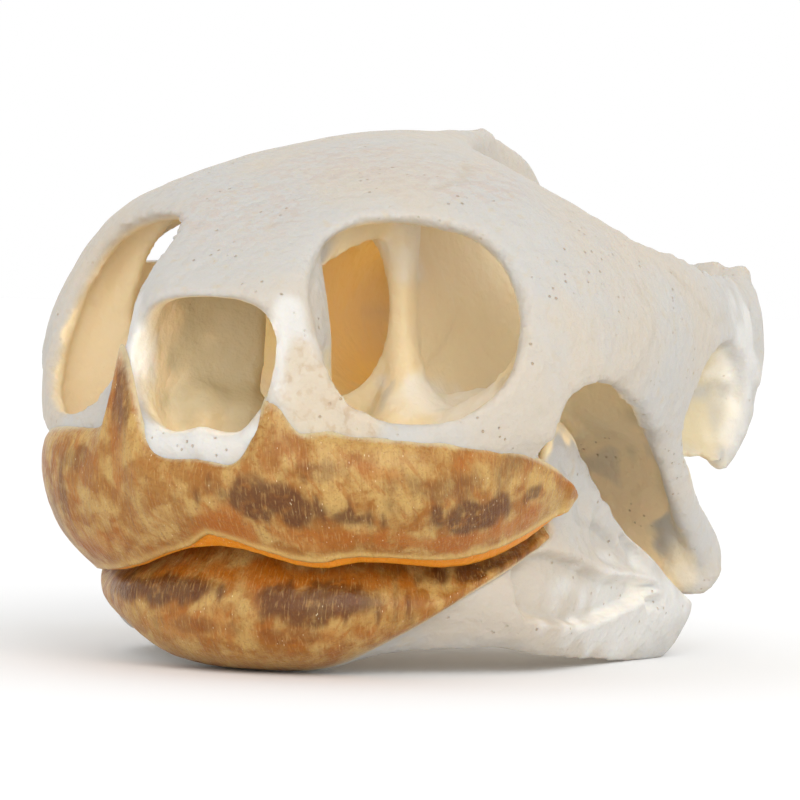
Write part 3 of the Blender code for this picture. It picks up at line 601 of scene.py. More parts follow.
# %% Sweep them, give the nose a sill of bone, and cut
nose_opening = prism("nose_opening", NOSE_OUTLINE, NOSE_START, ALONG_Y, ALONG_X, ALONG_Z, NOSE_DEPTH)
cheek = prism("cheek", CHEEK_OUTLINE, CHEEK_START, ALONG_X, ALONG_Y, ALONG_Z, CHEEK_DEPTH)
temple = prism("temple", TEMPLE_OUTLINE, TEMPLE_START, ALONG_Z, ALONG_X, ALONG_Y, TEMPLE_DEPTH)
dip = prism("dip", DIP_OUTLINE, DIP_START, ALONG_Z, ALONG_X, ALONG_Y, TEMPLE_DEPTH)
openings = both_sides([orbit, cheek, temple]) + [dip]
sill = limb("sill", (
    ((-4.9, 1.5, 14.8), (0.7, 0.3, 0), (0, 0.9, 0.5)), ((-3.7, 0.85, 12.9), (0.7, 0.2, 0.5), (0, 0.95, 0)),
    ((-1.8, 0.45, 12.0), (0.3, 0, 1.0), (0, 0.95, 0)), ((0.0, 0.4, 12.1), (0, 0, 1.1), (0, 0.95, 0)),
    ((1.8, 0.45, 12.0), (-0.3, 0, 1.0), (0, 0.95, 0)), ((3.7, 0.85, 12.9), (-0.7, 0.2, 0.5), (0, 0.95, 0)),
    ((4.9, 1.5, 14.8), (-0.7, 0.3, 0), (0, 0.9, 0.5)),
), steps=60)
carve(roof, openings + [nose_opening], keep=True)
carve(sill, [nose_opening], keep=True)
carve(rim, openings + [nose_opening])
print("openings cut after", round(time.time() - started, 1), "s")

# %% [markdown]
# ## Inside the skull
#
# Behind the face lie the nose's walls, the shelf behind each eye, the braincase with its ear bones, the
# palate and the pillars that carry the lower jaw. They are all seen through the openings, so they are
# modelled too. They could be dug out of one block, but bone grows as walls and struts. So each is a limb or
# a plate that runs well into its neighbours, and the new skin joins them.

# %% The shelf behind each eye, down to the palate
FLANGE_OUTER = (
    (8.0, 11.5, 26.0), (11.5, 13.0, 24.2), (13.8, 13.4, 21.8), (15.2, 12.8, 19.0),
    (15.5, 11.3, 16.0), (14.9, 10.0, 13.0), (12.6, 9.4, 11.8), (9.0, 9.6, 11.4),
)
FLANGE_INNER = (
    (7.0, 10.8, 24.9), (10.1, 12.8, 23.0), (11.4, 13.4, 21.0), (12.0, 13.6, 18.8),
    (11.4, 13.8, 16.8), (9.6, 14.2, 15.2), (7.2, 14.4, 14.0), (4.6, 14.6, 13.2),
)
FLANGE_BONE = 0.9
flange = curved_plate("flange", (FLANGE_OUTER, FLANGE_INNER), FLANGE_BONE, rows_out=12, columns_out=60)
tell(flange)

# %% The nose's walls, with a narrow slot between them, and the ridge above
THIN_BONE = 0.75
NOSE_WALL = (
    ((3.5, 1.2, 20.2), (4.4, 1.2, 18.5), (4.7, 1.2, 16.0), (4.4, 1.0, 13.4), (3.4, 0.8, 11.4)),
    ((3.9, 3.4, 22.0), (4.8, 3.4, 19.5), (5.1, 3.4, 16.5), (4.9, 3.2, 13.4), (4.0, 3.0, 11.2)),
    ((3.4, 6.2, 23.6), (3.9, 6.4, 20.0), (4.2, 6.4, 16.5), (4.3, 6.2, 13.4), (4.0, 6.0, 11.2)),
    ((1.0, 8.4, 24.6), (0.7, 8.6, 20.0), (0.8, 8.6, 16.5), (1.4, 8.6, 13.4), (2.4, 8.6, 11.2)),
)
RIDGE = ((2.4, 6.5, 22.0, 0.7, 1.4), (2.6, 11.0, 24.0, 0.7, 1.6), (3.6, 15.5, 25.0, 0.8, 1.8))
NOSE_LOBES = (((-3.6, 6.2, 13.6), (1.9, 1.9, 1.9)), ((-1.4, 7.4, 13.2), (1.6, 1.6, 1.7)))
nose_wall = curved_plate("nose_wall", NOSE_WALL, THIN_BONE, rows_out=40, columns_out=40)
ridge = limb("ridge", facing(ALONG_X, ALONG_Z, RIDGE))
lobes = [ball("lobe", centre, radii, smoothness=4) for centre, radii in NOSE_LOBES]
tell(nose_wall, ridge, *lobes)

# %% The braincase: half rings, from front to back
BRAIN_RINGS = (
    ((5.0, 15.2, 26.8), (4.0, 15.0, 24.5), (4.1, 14.8, 21.5), (4.4, 14.8, 18.5), (4.6, 14.8, 15.5),
     (6.2, 14.8, 12.8), (3.0, 14.8, 12.0)),
    ((5.0, 20.0, 27.4), (4.3, 20.0, 24.5), (4.5, 20.0, 21.5), (4.9, 20.0, 18.5), (5.3, 20.0, 15.5),
     (6.0, 20.0, 12.8), (3.0, 20.0, 12.0)),
    ((4.4, 25.0, 27.0), (4.8, 25.0, 24.5), (5.8, 25.0, 21.5), (6.6, 25.0, 18.5), (7.2, 25.0, 15.5),
     (7.4, 25.0, 12.6), (3.6, 25.0, 11.8)),
    ((2.6, 31.0, 26.6), (4.4, 31.0, 23.5), (6.0, 31.0, 21.0), (7.0, 31.0, 18.5), (7.4, 31.0, 15.5),
     (7.2, 31.0, 12.8), (3.6, 31.0, 11.8)),
    ((1.4, 38.5, 25.0), (3.4, 38.5, 23.2), (4.8, 38.5, 21.0), (5.2, 38.5, 18.5), (4.8, 38.5, 15.5),
     (3.4, 38.5, 13.4), (1.4, 38.5, 12.8)),
)
whole_rings = [list(ring) + [(-x, y, z) for x, y, z in ring[::-1]] for ring in BRAIN_RINGS]
brain_box = tube("brain_box", whole_rings, steps=48, sides=48)
tell(brain_box)

# %% The pale pillar at its front edge, a low ridge on its side, and a flake under the left brow
brow_pillar = limb("brow_pillar", (
    ((3.4, 14.2, 26.0), (1.6, 1.6, 0), (0, 0.6, 0.8)), ((3.9, 15.2, 23.6), (0.8, 0.9, 0), (-0.7, 0.9, 0)),
    ((4.1, 15.4, 20.5), (0.45, 0.6, 0), (-0.4, 0.8, 0)), ((4.2, 15.4, 17.5), (0.45, 0.6, 0), (-0.4, 0.8, 0)),
    ((4.6, 15.2, 15.0), (1.0, 1.0, 0), (-0.8, 1.0, 0)), ((5.4, 14.9, 13.2), (2.2, 1.8, 0), (-1.6, 1.6, 0)),
))
side_ridge = limb("side_ridge", (
    ((4.0, 19.6, 21.4), (0.4, 0, 0), (0, 0.8, 0.3)), ((4.8, 21.4, 18.8), (0.5, 0, 0), (0, 0.8, 0.3)),
    ((5.2, 23.4, 16.0), (0.5, 0, 0), (0, 0.9, 0.4)),
))
flake = limb("flake", (
    ((4.9, 10.8, 25.3), (1.3, 0.4, 0), (0, 0.3, 0.25)), ((4.6, 10.0, 24.1), (0.75, 0.2, 0), (0, 0.22, 0.2)),
    ((4.5, 9.6, 23.1), (0.3, 0.1, 0), (0, 0.18, 0.1)),
))
tell(brow_pillar, side_ridge, flake)

# %% The floor of the eye socket
SOCKET_FLOOR = (
    ((4.0, 12.0, 12.6), (7.0, 11.4, 12.2), (10.0, 11.0, 12.0), (13.5, 10.8, 12.2)),
    ((4.2, 15.4, 13.6), (7.0, 15.0, 13.6), (10.2, 14.8, 13.4), (13.6, 14.4, 13.4)),
    ((4.6, 17.6, 14.2), (6.6, 18.0, 14.9), (8.2, 18.6, 15.2), (10.4, 19.0, 15.4)),
)
FLOOR_BONE = 0.7
socket_floor = curved_plate("socket_floor", SOCKET_FLOOR, FLOOR_BONE, rows_out=30, columns_out=40)
tell(socket_floor)

# %% The ear bones, the wing behind them and the ear's rear wall
EAR_BONES = (
    (4.0, 31.0, 17.5, 4.6, 4.6), (7.0, 31.6, 17.2, 4.6, 4.4), (10.0, 32.8, 16.2, 5.0, 4.6),
    (12.5, 34.2, 15.2, 5.8, 4.6), (14.6, 34.8, 14.6, 6.2, 4.4),
)
WING = ((4.0, 37.5, 18.0, 1.4, 3.2), (8.5, 38.8, 18.5, 1.2, 3.0), (13.0, 40.0, 19.0, 1.4, 3.0))
REAR_WALL = (
    (13.8, 40.9, 20.8, 0.8, 0.8), (13.9, 41.2, 19.2, 1.1, 1.2), (14.0, 41.4, 17.4, 1.1, 1.4),
    (13.8, 41.3, 15.6, 1.3, 1.3), (13.8, 40.9, 13.8, 1.1, 1.4), (13.7, 40.4, 12.2, 1.1, 1.2),
    (13.7, 39.6, 10.9, 0.8, 1.1), (13.7, 38.8, 9.7, 0.4, 0.5),
)
ear_bones = limb("ear_bones", facing(ALONG_Y, ALONG_Z, EAR_BONES))
wing = limb("wing", facing(ALONG_Y, ALONG_Z, WING))
knob = ball("knob", (13.7, 41.3, 21.2), (0.7, 0.9, 0.9))
rear_wall = limb("rear_wall", facing(ALONG_X, ALONG_Y, REAR_WALL), steps=60)
tell(ear_bones, wing, knob, rear_wall)

# %% The crest over the braincase, and the knob that meets the neck
CREST = (  # (Y, lowest Z, highest Z, half thickness)
    (29.0, 22.0, 28.6, 0.9), (34.0, 22.0, 28.9, 1.0), (37.2, 22.0, 28.3, 1.1), (39.4, 22.2, 27.6, 1.1),
    (41.2, 22.8, 26.5, 0.9), (42.6, 23.4, 25.3, 0.6), (44.0, 23.6, 24.4, 0.3),
)
crest_rings = [
    [(h, y, a), (h, y, (a + b) / 2), (h / 2, y, b), (-h / 2, y, b), (-h, y, (a + b) / 2), (-h, y, a)]
    for y, a, b, h in CREST
]
crest = tube("crest", crest_rings)
condyle = ball("condyle", (0, 40.6, 14.4), (1.9, 2.2, 1.6))
tell(crest, condyle)

# %% The palate: a plate with a waist
PALATE = (  # (Y, middle Z, half width, half thickness)
    (1.8, 10.5, 3.6, 1.5), (3.5, 10.5, 7.2, 1.7), (7.0, 10.5, 10.4, 1.7), (11.0, 10.7, 12.2, 1.6),
    (14.5, 11.6, 11.2, 1.2), (18.0, 12.3, 7.0, 0.9), (22.0, 12.4, 5.8, 0.8), (26.0, 12.2, 7.4, 0.8),
    (31.0, 11.9, 8.2, 0.9), (37.0, 12.6, 5.0, 1.0), (40.0, 13.4, 2.2, 1.2),
)
palate = limb("palate", facing(ALONG_X, ALONG_Z, [(0, *row) for row in PALATE]), steps=60, sides=48)
tell(palate)

# %% The pillar that carries the lower jaw, and its sheet of bone
pillar = limb("pillar", (
    ((15.2, 26.4, 14.2), (1.1, 0.2, 0), (-0.1, 2.4, 1.6)), ((14.9, 28.4, 11.2), (0.7, 0.1, 0), (0, 1.2, 1.2)),
    ((14.5, 30.5, 9.0), (0.6, 0.1, 0), (0, 0.85, 0.95)), ((14.1, 33.0, 7.3), (0.6, 0.1, 0), (0, 0.75, 0.95)),
    ((13.8, 35.3, 5.9), (0.7, 0.1, 0), (0, 1.0, 1.1)), ((13.4, 36.6, 4.7), (1.2, 0.2, 0), (0, 1.5, 0.7)),
    ((13.1, 36.2, 3.4), (1.6, 0.3, 0), (0, 1.4, 0.3)), ((13.0, 35.5, 2.5), (1.0, 0.2, 0), (0, 0.7, 0.1)),
))
PILLAR_SHEET = (
    ((14.0, 30.6, 16.0), (11.5, 30.8, 15.5), (8.8, 30.8, 15.0), (5.6, 30.6, 14.0)),
    ((13.8, 32.2, 10.0), (11.4, 33.2, 10.0), (8.8, 33.6, 10.6), (5.6, 33.4, 11.2)),
    ((13.0, 35.2, 4.6), (11.4, 35.2, 4.6), (8.6, 34.8, 5.4), (5.4, 34.4, 7.4)),
    ((12.8, 35.0, 2.9), (11.4, 34.8, 2.6), (9.2, 34.2, 3.2), (6.4, 33.8, 4.6)),
)
pillar_sheet = curved_plate("pillar_sheet", PILLAR_SHEET, BONE, rows_out=24, columns_out=30)
tell(pillar, pillar_sheet)

# %% Join the cranium
BONE_CELL = 0.325  # size of the new skin's faces
eye_parts = [flange, brow_pillar, side_ridge, socket_floor]
paired = both_sides(eye_parts + [nose_wall, ridge, ear_bones, wing, knob, rear_wall, pillar, pillar_sheet])
single = [roof, rim, sill, brain_box, crest, condyle, palate, flake] + lobes
cranium = fuse("cranium_bone", single + paired, BONE_CELL, smooth=1)
print("cranium:", triangles(cranium), "triangles after", round(time.time() - started, 1), "s")

# %% [markdown]
# ## Hollows
#
# The ear, the roof of the mouth and the space for the brain are rounded hollows. Walls could be built round
# them, but it is simpler to cut them with ellipsoids and a limb once the bones are one. The horn's bed is
# cut in the same step. A second skin then rounds the edges of these cuts.

# %% Hollow out the ears, the mouth and the braincase
ear = ball("ear", (17.2, 34.0, 13.4), (5.2, 6.6, 4.1))
mouth = ball("mouth", (0, 12.5, 8.2), (7.0, 7.5, 2.7))
BRAIN_SPACE = (
    (0, 12.0, 19.4, 3.2, 5.0), (0, 15.0, 19.3, 3.5, 5.0), (0, 22.0, 19.0, 3.8, 4.6),
    (0, 30.0, 18.5, 4.4, 3.8), (0, 36.0, 18.4, 3.5, 3.3), (0, 44.0, 18.4, 3.3, 3.2),
)
brain_space = limb("brain_space", facing(ALONG_X, ALONG_Z, BRAIN_SPACE), steps=48, sides=40)
under_upper_horn = [bed_cutter(upper_face), mouth_cutter(upper_face, 1)]
carve(cranium, both_sides([ear]) + [mouth, brain_space] + under_upper_horn)
cranium = fuse("cranium_bone", [cranium], BONE_CELL, smooth=3)
print("cranium:", triangles(cranium), "triangles after", round(time.time() - started, 1), "s")

# %% Raise the cheek's overlapping plate a little, as its rear edge shows
CHEEK_PLATE = (  # (Y, Z)
    (19.6, 20.9), (20.1, 19.4), (20.0, 18.4), (18.9, 17.3), (17.1, 16.1), (15.8, 15.7), (12.0, 15.2),
    (9.0, 18.0), (10.0, 24.0), (15.0, 26.0), (18.6, 23.6),
)
PLATE_RISE = 0.16
press(cranium, CHEEK_PLATE, -PLATE_RISE, soft=0.5)
print("cheek plate raised by", PLATE_RISE, "mm")

# %% [markdown]
# ## The lower jaw
#
# The two sides of a turtle's lower jaw grow together at the chin. One tube through closed sections, from
# the joint on the right round the chin to the joint on the left, gives that arch in one go. A straight bar
# bent by a modifier would be an arch too, but its ledges and its knob could not be placed one by one.

# %% Closed sections of the lower jaw, from the chin back to the joint
JAW_SECTIONS = (
    ((0, 4.6, 6.7), (0, 2.4, 4.3), (0, 2.3, 2.3), (0, 4.2, 0.0),
     (0, 7.5, -0.3), (0, 8.8, 1.4), (0, 8.8, 3.6), (0, 7.8, 5.6)),
    ((4.0, 5.2, 6.5), (4.6, 3.1, 4.3), (4.5, 3.1, 2.3), (4.2, 4.9, 0.2),
     (3.4, 8.0, -0.1), (3.0, 9.4, 1.5), (3.0, 9.4, 3.7), (3.3, 8.4, 5.6)),
    ((6.6, 7.0, 6.3), (7.6, 5.0, 4.3), (7.3, 5.8, 2.6), (6.6, 7.2, 1.1),
     (5.9, 9.4, 0.6), (5.6, 10.8, 1.8), (5.6, 10.8, 3.9), (6.0, 9.8, 5.7)),
    ((8.6, 9.6, 6.3), (9.9, 7.9, 4.5), (9.6, 8.5, 2.9), (9.0, 9.7, 1.3),
     (8.7, 11.2, 0.8), (8.0, 12.2, 2.0), (8.0, 12.2, 4.2), (8.1, 11.4, 5.9)),
    ((10.4, 12.4, 6.6), (11.7, 11.0, 5.2), (12.1, 11.2, 3.3), (11.8, 12.5, 1.4),
     (10.9, 13.8, 0.9), (10.2, 14.4, 2.2), (10.0, 14.4, 4.4), (10.1, 13.8, 6.2)),
    ((11.8, 14.9, 7.7), (12.9, 14.2, 6.2), (13.7, 14.5, 3.8), (13.3, 15.2, 1.5),
     (12.2, 16.0, 0.6), (11.5, 16.3, 2.4), (11.1, 16.3, 4.8), (11.2, 15.9, 7.2)),
    ((12.6, 17.0, 12.3), (13.2, 17.6, 8.2), (14.2, 18.1, 4.2), (13.6, 18.3, 1.5),
     (12.6, 18.7, 0.3), (12.0, 18.8, 2.4), (11.6, 18.2, 6.0), (11.7, 17.6, 12.0)),
    ((12.6, 20.8, 11.2), (13.0, 20.9, 7.6), (14.3, 21.0, 4.3), (13.7, 21.0, 1.6),
     (12.8, 21.2, -0.1), (12.1, 21.3, 2.2), (11.5, 21.4, 5.6), (11.5, 21.3, 10.8)),
    ((13.3, 24.3, 7.4), (13.6, 24.4, 6.2), (14.4, 24.5, 4.4), (13.9, 24.5, 1.6),
     (13.0, 24.7, -0.5), (12.0, 24.8, 1.6), (11.2, 24.9, 4.2), (11.0, 24.9, 7.4)),
    ((13.7, 28.2, 5.3), (14.1, 28.2, 4.6), (14.4, 28.2, 3.2), (14.0, 28.0, 0.9),
     (13.0, 27.8, -0.9), (11.9, 28.2, 0.6), (11.0, 28.6, 3.2), (10.8, 28.6, 6.2)),
    ((12.9, 32.0, 3.3), (14.2, 31.8, 3.0), (14.5, 31.5, 1.6), (13.9, 31.1, -0.2),
     (12.8, 31.0, -1.0), (11.4, 31.5, 0.2), (10.4, 32.0, 2.0), (10.8, 32.1, 4.0)),
    ((12.8, 34.6, 2.5), (13.7, 34.6, 2.3), (13.9, 34.3, 1.8), (13.6, 33.9, 1.2),
     (12.8, 33.7, 0.9), (11.4, 34.1, 1.2), (10.7, 34.5, 1.9), (11.2, 34.8, 2.4)),
)
arch = tube("arch", mirrored(JAW_SECTIONS), steps=300, sides=56)
tell(arch)

# %% Lower beak: upright profiles, from the cutting edge down to the lower border
LOWER_BEAK = (
    ((0, 4.6, 6.9), (0, 3.5, 5.8), (0, 2.4, 4.4), (0, 2.2, 2.6), (0, 3.6, 0.6), (0, 7.0, -0.4)),
    ((4.0, 5.2, 6.7), (4.3, 4.1, 5.6), (4.6, 3.1, 4.4), (4.5, 3.0, 2.6), (4.2, 4.4, 0.8), (3.7, 7.1, -0.2)),
    ((6.6, 7.0, 6.5), (7.1, 6.0, 5.4), (7.7, 4.9, 4.3), (7.7, 4.8, 3.0), (7.3, 5.6, 1.9), (6.7, 7.0, 1.0)),
    ((8.6, 9.6, 6.5), (9.2, 8.8, 5.6), (9.8, 8.0, 4.6), (10.1, 7.6, 4.0), (10.1, 7.5, 3.5),
     (9.9, 7.8, 2.9)),
    ((10.4, 12.4, 6.8), (10.9, 11.8, 6.2), (11.3, 11.2, 5.6), (11.6, 10.8, 5.3), (11.7, 10.6, 5.1),
     (11.8, 10.5, 4.8)),
    ((11.6, 14.6, 7.3), (11.9, 14.2, 7.0), (12.2, 13.8, 6.7), (12.5, 13.5, 6.5), (12.7, 13.3, 6.3),
     (12.8, 13.2, 6.0)),
    ((12.4, 15.9, 7.7), (12.6, 15.7, 7.5), (12.8, 15.5, 7.4), (13.0, 15.3, 7.2), (13.1, 15.2, 7.1),
     (13.1, 15.1, 6.9)),
)
lower_face = horn_face(np.array(LOWER_BEAK)[:, ::-1], face_rows=64, columns=301)
print("lower horn: widest", round(2 * lower_face[..., 0].max(), 1), "mm")

# %% Sink the front of the jaw under the horn, and scoop out its top
HORN_REACH, HORN_FADES = 15.0, 2  # Y at which the lower horn ends, and over how much
SUNK = 0.2
JAW_CELL = 0.22
points = places_of(arch)
under_horn = np.clip((HORN_REACH - points[:, 1]) / HORN_FADES, 0, 1)[:, None]
move_to(arch, points - SUNK * under_horn * directions_of(arch))
top_trough = ball("top_trough", (12.2, 26.4, 7.2), (0.6, 3.8, 2.8))
carve(arch, both_sides([top_trough]) + [bed_cutter(lower_face), mouth_cutter(lower_face, -1)])
jaw = fuse("jaw_bone", [arch], JAW_CELL, smooth=3)
print("jaw:", triangles(jaw), "triangles after", round(time.time() - started, 1), "s")

# %% Press in the jaw's side hollow, the sheet behind the coronoid, its pit and a small hole
SIDE_HOLLOW = (  # (Y, Z)
    (12.5, 4.9), (12.6, 3.6), (13.3, 2.9), (14.8, 2.6), (18.2, 2.1), (20.4, 2.1), (23.0, 2.5), (25.4, 2.9),
    (28.0, 3.6), (25.4, 4.1), (21.4, 4.5), (18.0, 5.6), (15.4, 6.2), (13.4, 6.0),
)
REAR_SHEET = (
    (21.6, 7.6), (20.8, 6.9), (20.6, 6.2), (20.9, 5.6), (21.9, 5.2), (23.4, 4.9), (26.4, 4.5), (26.4, 5.0),
    (24.6, 5.8), (23.0, 6.9),
)
SHEET_PIT = ((24.2, 6.7), (24.6, 6.1), (26.4, 4.8), (27.0, 5.0), (26.8, 5.4), (25.0, 6.6))
SIDE_HOLE = ((26.6, 2.9), (27.0, 2.4), (28.5, 2.5), (28.7, 2.9), (27.6, 3.1))
for outline, depth, soft in (
    (SIDE_HOLLOW, 1.0, 0.6), (REAR_SHEET, 0.5, 0.6), (SHEET_PIT, 0.45, 0.5), (SIDE_HOLE, 0.6, 0.6),
):
    press(jaw, outline, depth, soft)
    print("pressed", depth, "mm deep into each side of the jaw")

# %% [markdown]
# ## The horn
#
# The beak's horn is a sheath that grows down over the jaw like a fingernail, and turns in at the cutting
# edge to a chewing shelf. A copy of the bone pushed outwards would be quick, but it would have no edge of
# its own. So it is drawn as closed sections, one after the other round the jaw: down the outer face, round
# the lip, along the shelf and back up inside the bone. Each point keeps how far along the beak it lies and
# how far up, so that fibres and stains can follow the horn later.

# %% The lip: below it the cutting edge steps in
LIP_BAND = (  # (X of the cutting edge, height of the step)
    (0, 1.3), (1.2, 1.0), (2.5, 0.65), (4.2, 0.5), (6.0, 0.6), (7.5, 0.75), (9.0, 0.75), (10.5, 0.9),
    (12.0, 1.0), (13.2, 0.8), (14.0, 0.4), (14.5, 0.0),
)
RIGHT_BAND = 0.3  # the share of that height on the right
RIGHT_OVER = 2  # the height falls to that share within this distance of the middle


def band_height(face):
    x = face[-1, :, 0]
    height = np.interp(np.abs(x), *np.transpose(LIP_BAND))
    return height * np.where(x < 0, 1 - (1 - RIGHT_BAND) * smooth_step(-x / RIGHT_OVER), 1)


band = band_height(upper_face)
print("lip step: highest", round(band.max(), 1), "mm above the cutting edge")


# %% Where each point of a face lies along the beak and up from its edge, and the waves there
def along_and_up(face):
    middle = face[len(face) // 2]
    along = np.concatenate([[0], np.cumsum(np.linalg.norm(np.diff(middle, axis=0), axis=1))])
    along = np.broadcast_to(along - along.mean(), face.shape[:2])
    steps = np.linalg.norm(np.diff(face[::-1], axis=0), axis=2)
    up = np.concatenate([np.zeros((1, face.shape[1])), np.cumsum(steps, axis=0)])[::-1]
    return along, up


HORN_WAVES = ((0.05, (1, 0.6, 1), 2.2), (0.02, (1, 0.25, 1), 0.5), (0.012, (0.4, 1.2, 1), 0.45))


def horn_relief(along, up):
    flat = np.stack([along.ravel(), up.ravel(), np.zeros(along.size)], -1)
    return layers_of_lumps(flat, HORN_WAVES, 5).reshape(along.shape)


# %% Keep a value at each point of a mesh
def give(obj, name, values):
    kept = obj.data.attributes.new(name, "FLOAT", "POINT")
    kept.data.foreach_set("value", values.astype(np.float32).ravel())


def kept(obj, name):
    values = np.empty(len(obj.data.vertices), np.float32)
    obj.data.attributes[name].data.foreach_get("value", values)
    return values.astype(float)


# %% How a sheath's face is shaped: thin at its border, swollen at the corner of the mouth
LIP_STEP = 0.24
LIP_SOFT = 0.12
BAND_ENDS = 0.3  # below this height the band fades out
BEAD = 0.25
BEAD_START, BEAD_SOFT = 1.6, 0.8  # measured back from the horn's end
FADE_SHARE = 0.14
FADE_DEPTH = 0.2
FADE_CURVE = 1.5


def face_of_sheath(face, band, along, up, fade):
    out = normals_of(face)
    below = smooth_step((band - up) / LIP_SOFT + 0.5)
    inset = LIP_STEP * below * np.minimum(band / BAND_ENDS, 1)
    skin = face - (FADE_DEPTH * fade**FADE_CURVE + inset[..., None]) * out
    swelling = BEAD * smooth_step((np.abs(along) - along.max() + BEAD_START) / BEAD_SOFT)
    relief = horn_relief(along, up)
    return skin, relief[..., None] * (1 - fade) * out, swelling[..., None] * out, below


# %% One horn sheath
BEHIND = ((0.8, 1.0), (0.55, 0.8), (0.3, 0.5), (0, 0.2))  # (share of the way down, depth behind the face)
SHELF_THICKNESS = 0.6
BACK_ROWS = 10
# the pale line is a painted highlight on the rounded lip
LIP_HIGHLIGHT_RISE = 0.28  # the pale line lies this far above the step


def sheath(name, face, rise, band):
    out = normals_of(face)
    along, up = along_and_up(face)
    fade = np.clip(1 - np.arange(len(face)) / (FADE_SHARE * len(face)), 0, 1)[:, None, None]
    skin, waves, swelling, below = face_of_sheath(face, band, along, up, fade)
    shelf = spline(shelf_rows(skin[-1], rise), SHELF_ROWS)
    lift = SHELF_THICKNESS * rise * toward_rear(face.shape[1]) * ALONG_Z
    rows = [(int(share * len(face)), deep) for share, deep in BEHIND]
    back = spline([shelf[-1] + lift] + [face[row] - deep * out[row] for row, deep in rows], BACK_ROWS)
    horn = loft(name, np.concatenate([skin + waves + swelling, shelf, back]).transpose(1, 0, 2))
    inner = np.zeros((len(shelf) + len(back), face.shape[1]))
    # painted highlight: a pale line along the rounded lip, just above the step
    line = np.exp(-(((up - band - LIP_HIGHLIGHT_RISE) / LIP_HIGHLIGHT_RISE) ** 2)) * np.minimum(band / BAND_ENDS, 1)
    for label, outside, inside in (
        ("along", along, inner + along[-1]), ("up", up, inner), ("below_lip", below, inner + (band > 0)),
        ("lip", line, inner), ("border", np.broadcast_to(fade[..., 0], up.shape), inner),
    ):
        give(horn, label, np.concatenate([outside, inside]).T)
    return horn


# %% Make both sheaths
upper_horn = sheath("upper_horn", upper_face, 1, band)
lower_horn = sheath("lower_horn", lower_face, -1, np.zeros(lower_face.shape[1]))
tell(upper_horn, lower_horn)

# %% [markdown]
# ## How the bone's surface varies
#
# Clean bone is not one colour. Outside it is chalky white to cream. Where it is sheltered, inside the eye
# sockets, the nose, the ear and the braincase, warm buff to deep yellow is painted in as light: the light
# that comes through the thin walls and bounces between them. A painted image could show that, but it would be
# tied to one mesh. So rays are sent out from each point of the bone, and the share that meets bone nearby
# tells how sheltered it is.

# %% Rays to the twelve corners of an icosahedron
REACH = 14.0
golden = (1 + 5**0.5) / 2
RAYS = np.array([(0, a, b * golden) for a in (-1, 1) for b in (-1, 1)])
RAYS = np.concatenate([RAYS, np.roll(RAYS, 1, 1), np.roll(RAYS, 2, 1)]) / np.hypot(1, golden)
print(len(RAYS), "rays of", REACH, "mm")

# %% The share of the rays from each point that meet bone
OFF_THE_BONE = 0.2
LOOKING_OUT = 0.25  # only rays well away from the surface count
ALMOST_NONE = 0.001


def faces_of(obj):
    return [tuple(face.vertices) for face in obj.data.polygons]


def shelter_of(obj, solid):
    places, out = places_of(obj), directions_of(obj)
    hits, tried = np.zeros(len(places)), np.full(len(places), ALMOST_NONE)
    start = places + OFF_THE_BONE * out
    for ray in RAYS:
        toward = Vector(ray)
        for k in np.flatnonzero(out @ ray > LOOKING_OUT):
            tried[k] += 1
            hits[k] += solid.ray_cast(start[k], toward, REACH)[0] is not None
    return hits / tried


def spread(obj, values, rounds):
    ends = np.empty(2 * len(obj.data.edges), np.int32)
    obj.data.edges.foreach_get("vertices", ends)
    a, b = ends[::2], ends[1::2]
    count = np.bincount(ends, minlength=len(values)) + 1
    for _ in range(rounds):
        total = values + np.bincount(a, values[b], len(values)) + np.bincount(b, values[a], len(values))
        values = total / count
    return values


# %% [markdown]
# Some places are special on this skull, such as the stained bone beside the nose, the bright rims and the
# ragged edge behind the ear. Each is marked with a few soft ellipsoids, and the seams between the bones
# with lines. Both are placed in the drawing frame, so they can be moved like any other part.

# %% Places with their own colour, and places where light is painted in: (centre, radii) in mm
STAINED = (
    ((6.4, 1.2, 14.6), (2.3, 3.0, 2.3)), ((7.6, 1.8, 13.6), (1.8, 2.0, 1.5)),
    ((5.4, 0.6, 16.4), (0.9, 1.5, 1.8)),
)
# painted light: inside these the sheltered bone glows orange-yellow, for light that comes through thin walls
GLOW_THROUGH_BONE_SPOTS = (
    ((-3.0, 24.0, 19.0), (5.5, 11.0, 7.0)), ((4.6, 5.0, 19.5), (1.4, 3.0, 6.0)),
)
# painted light: inside these the bone is tinted warm buff, for light through thin walls and between them
HOLLOW_LIGHT_SPOTS = (
    ((8.0, 25.0, 11.5), (4.6, 13.0, 9.5)), ((8.6, 33.5, 9.0), (3.6, 3.6, 7.5)),
    ((10.6, 32.5, 11.0), (2.4, 2.5, 5.0)), ((7.0, 19.5, 18.5), (5.6, 8.0, 8.0)),
    ((-7.0, 19.5, 18.5), (5.6, 8.0, 8.0)), ((-12.8, 11.5, 15.2), (1.6, 3.0, 3.5)),
)
PINKISH = (
    ((8.6, 14.0, 26.4), (3.6, 5.0, 2.2)), ((-2.0, 6.0, 25.0), (5.0, 5.0, 3.0)),
    ((2.0, 12.0, 27.5), (5.0, 5.0, 2.0)),
)
# chalk-white bone; where it is sheltered, a brighter chalk is painted in as light in the shade
WHITE = (
    ((0, 0.2, 12.3), (5.4, 1.8, 1.4)), ((4.6, 0.8, 17.0), (1.2, 2.0, 3.6)),
    ((-4.8, 1.0, 17.0), (0.9, 2.0, 3.0)), ((16.4, 38.0, 15.0), (3.0, 3.0, 6.0)),
    ((14.2, 24.0, 2.5), (1.8, 9.0, 3.4)), ((4.6, 15.6, 23.2), (1.6, 2.0, 2.2)),
    ((8.0, 15.4, 14.6), (5.0, 4.2, 1.5)),
)
# painted light: the sheltered bone in these is tinted warm yellow-brown, for light through thin bone
HOLLOW = (  # the ears and the nose
    ((14.2, 33.8, 13.3), (3.2, 5.8, 4.2)), ((-14.2, 33.8, 13.3), (3.2, 5.8, 4.2)),
    ((0, 6.2, 16.2), (5.6, 4.4, 5.0)),
)

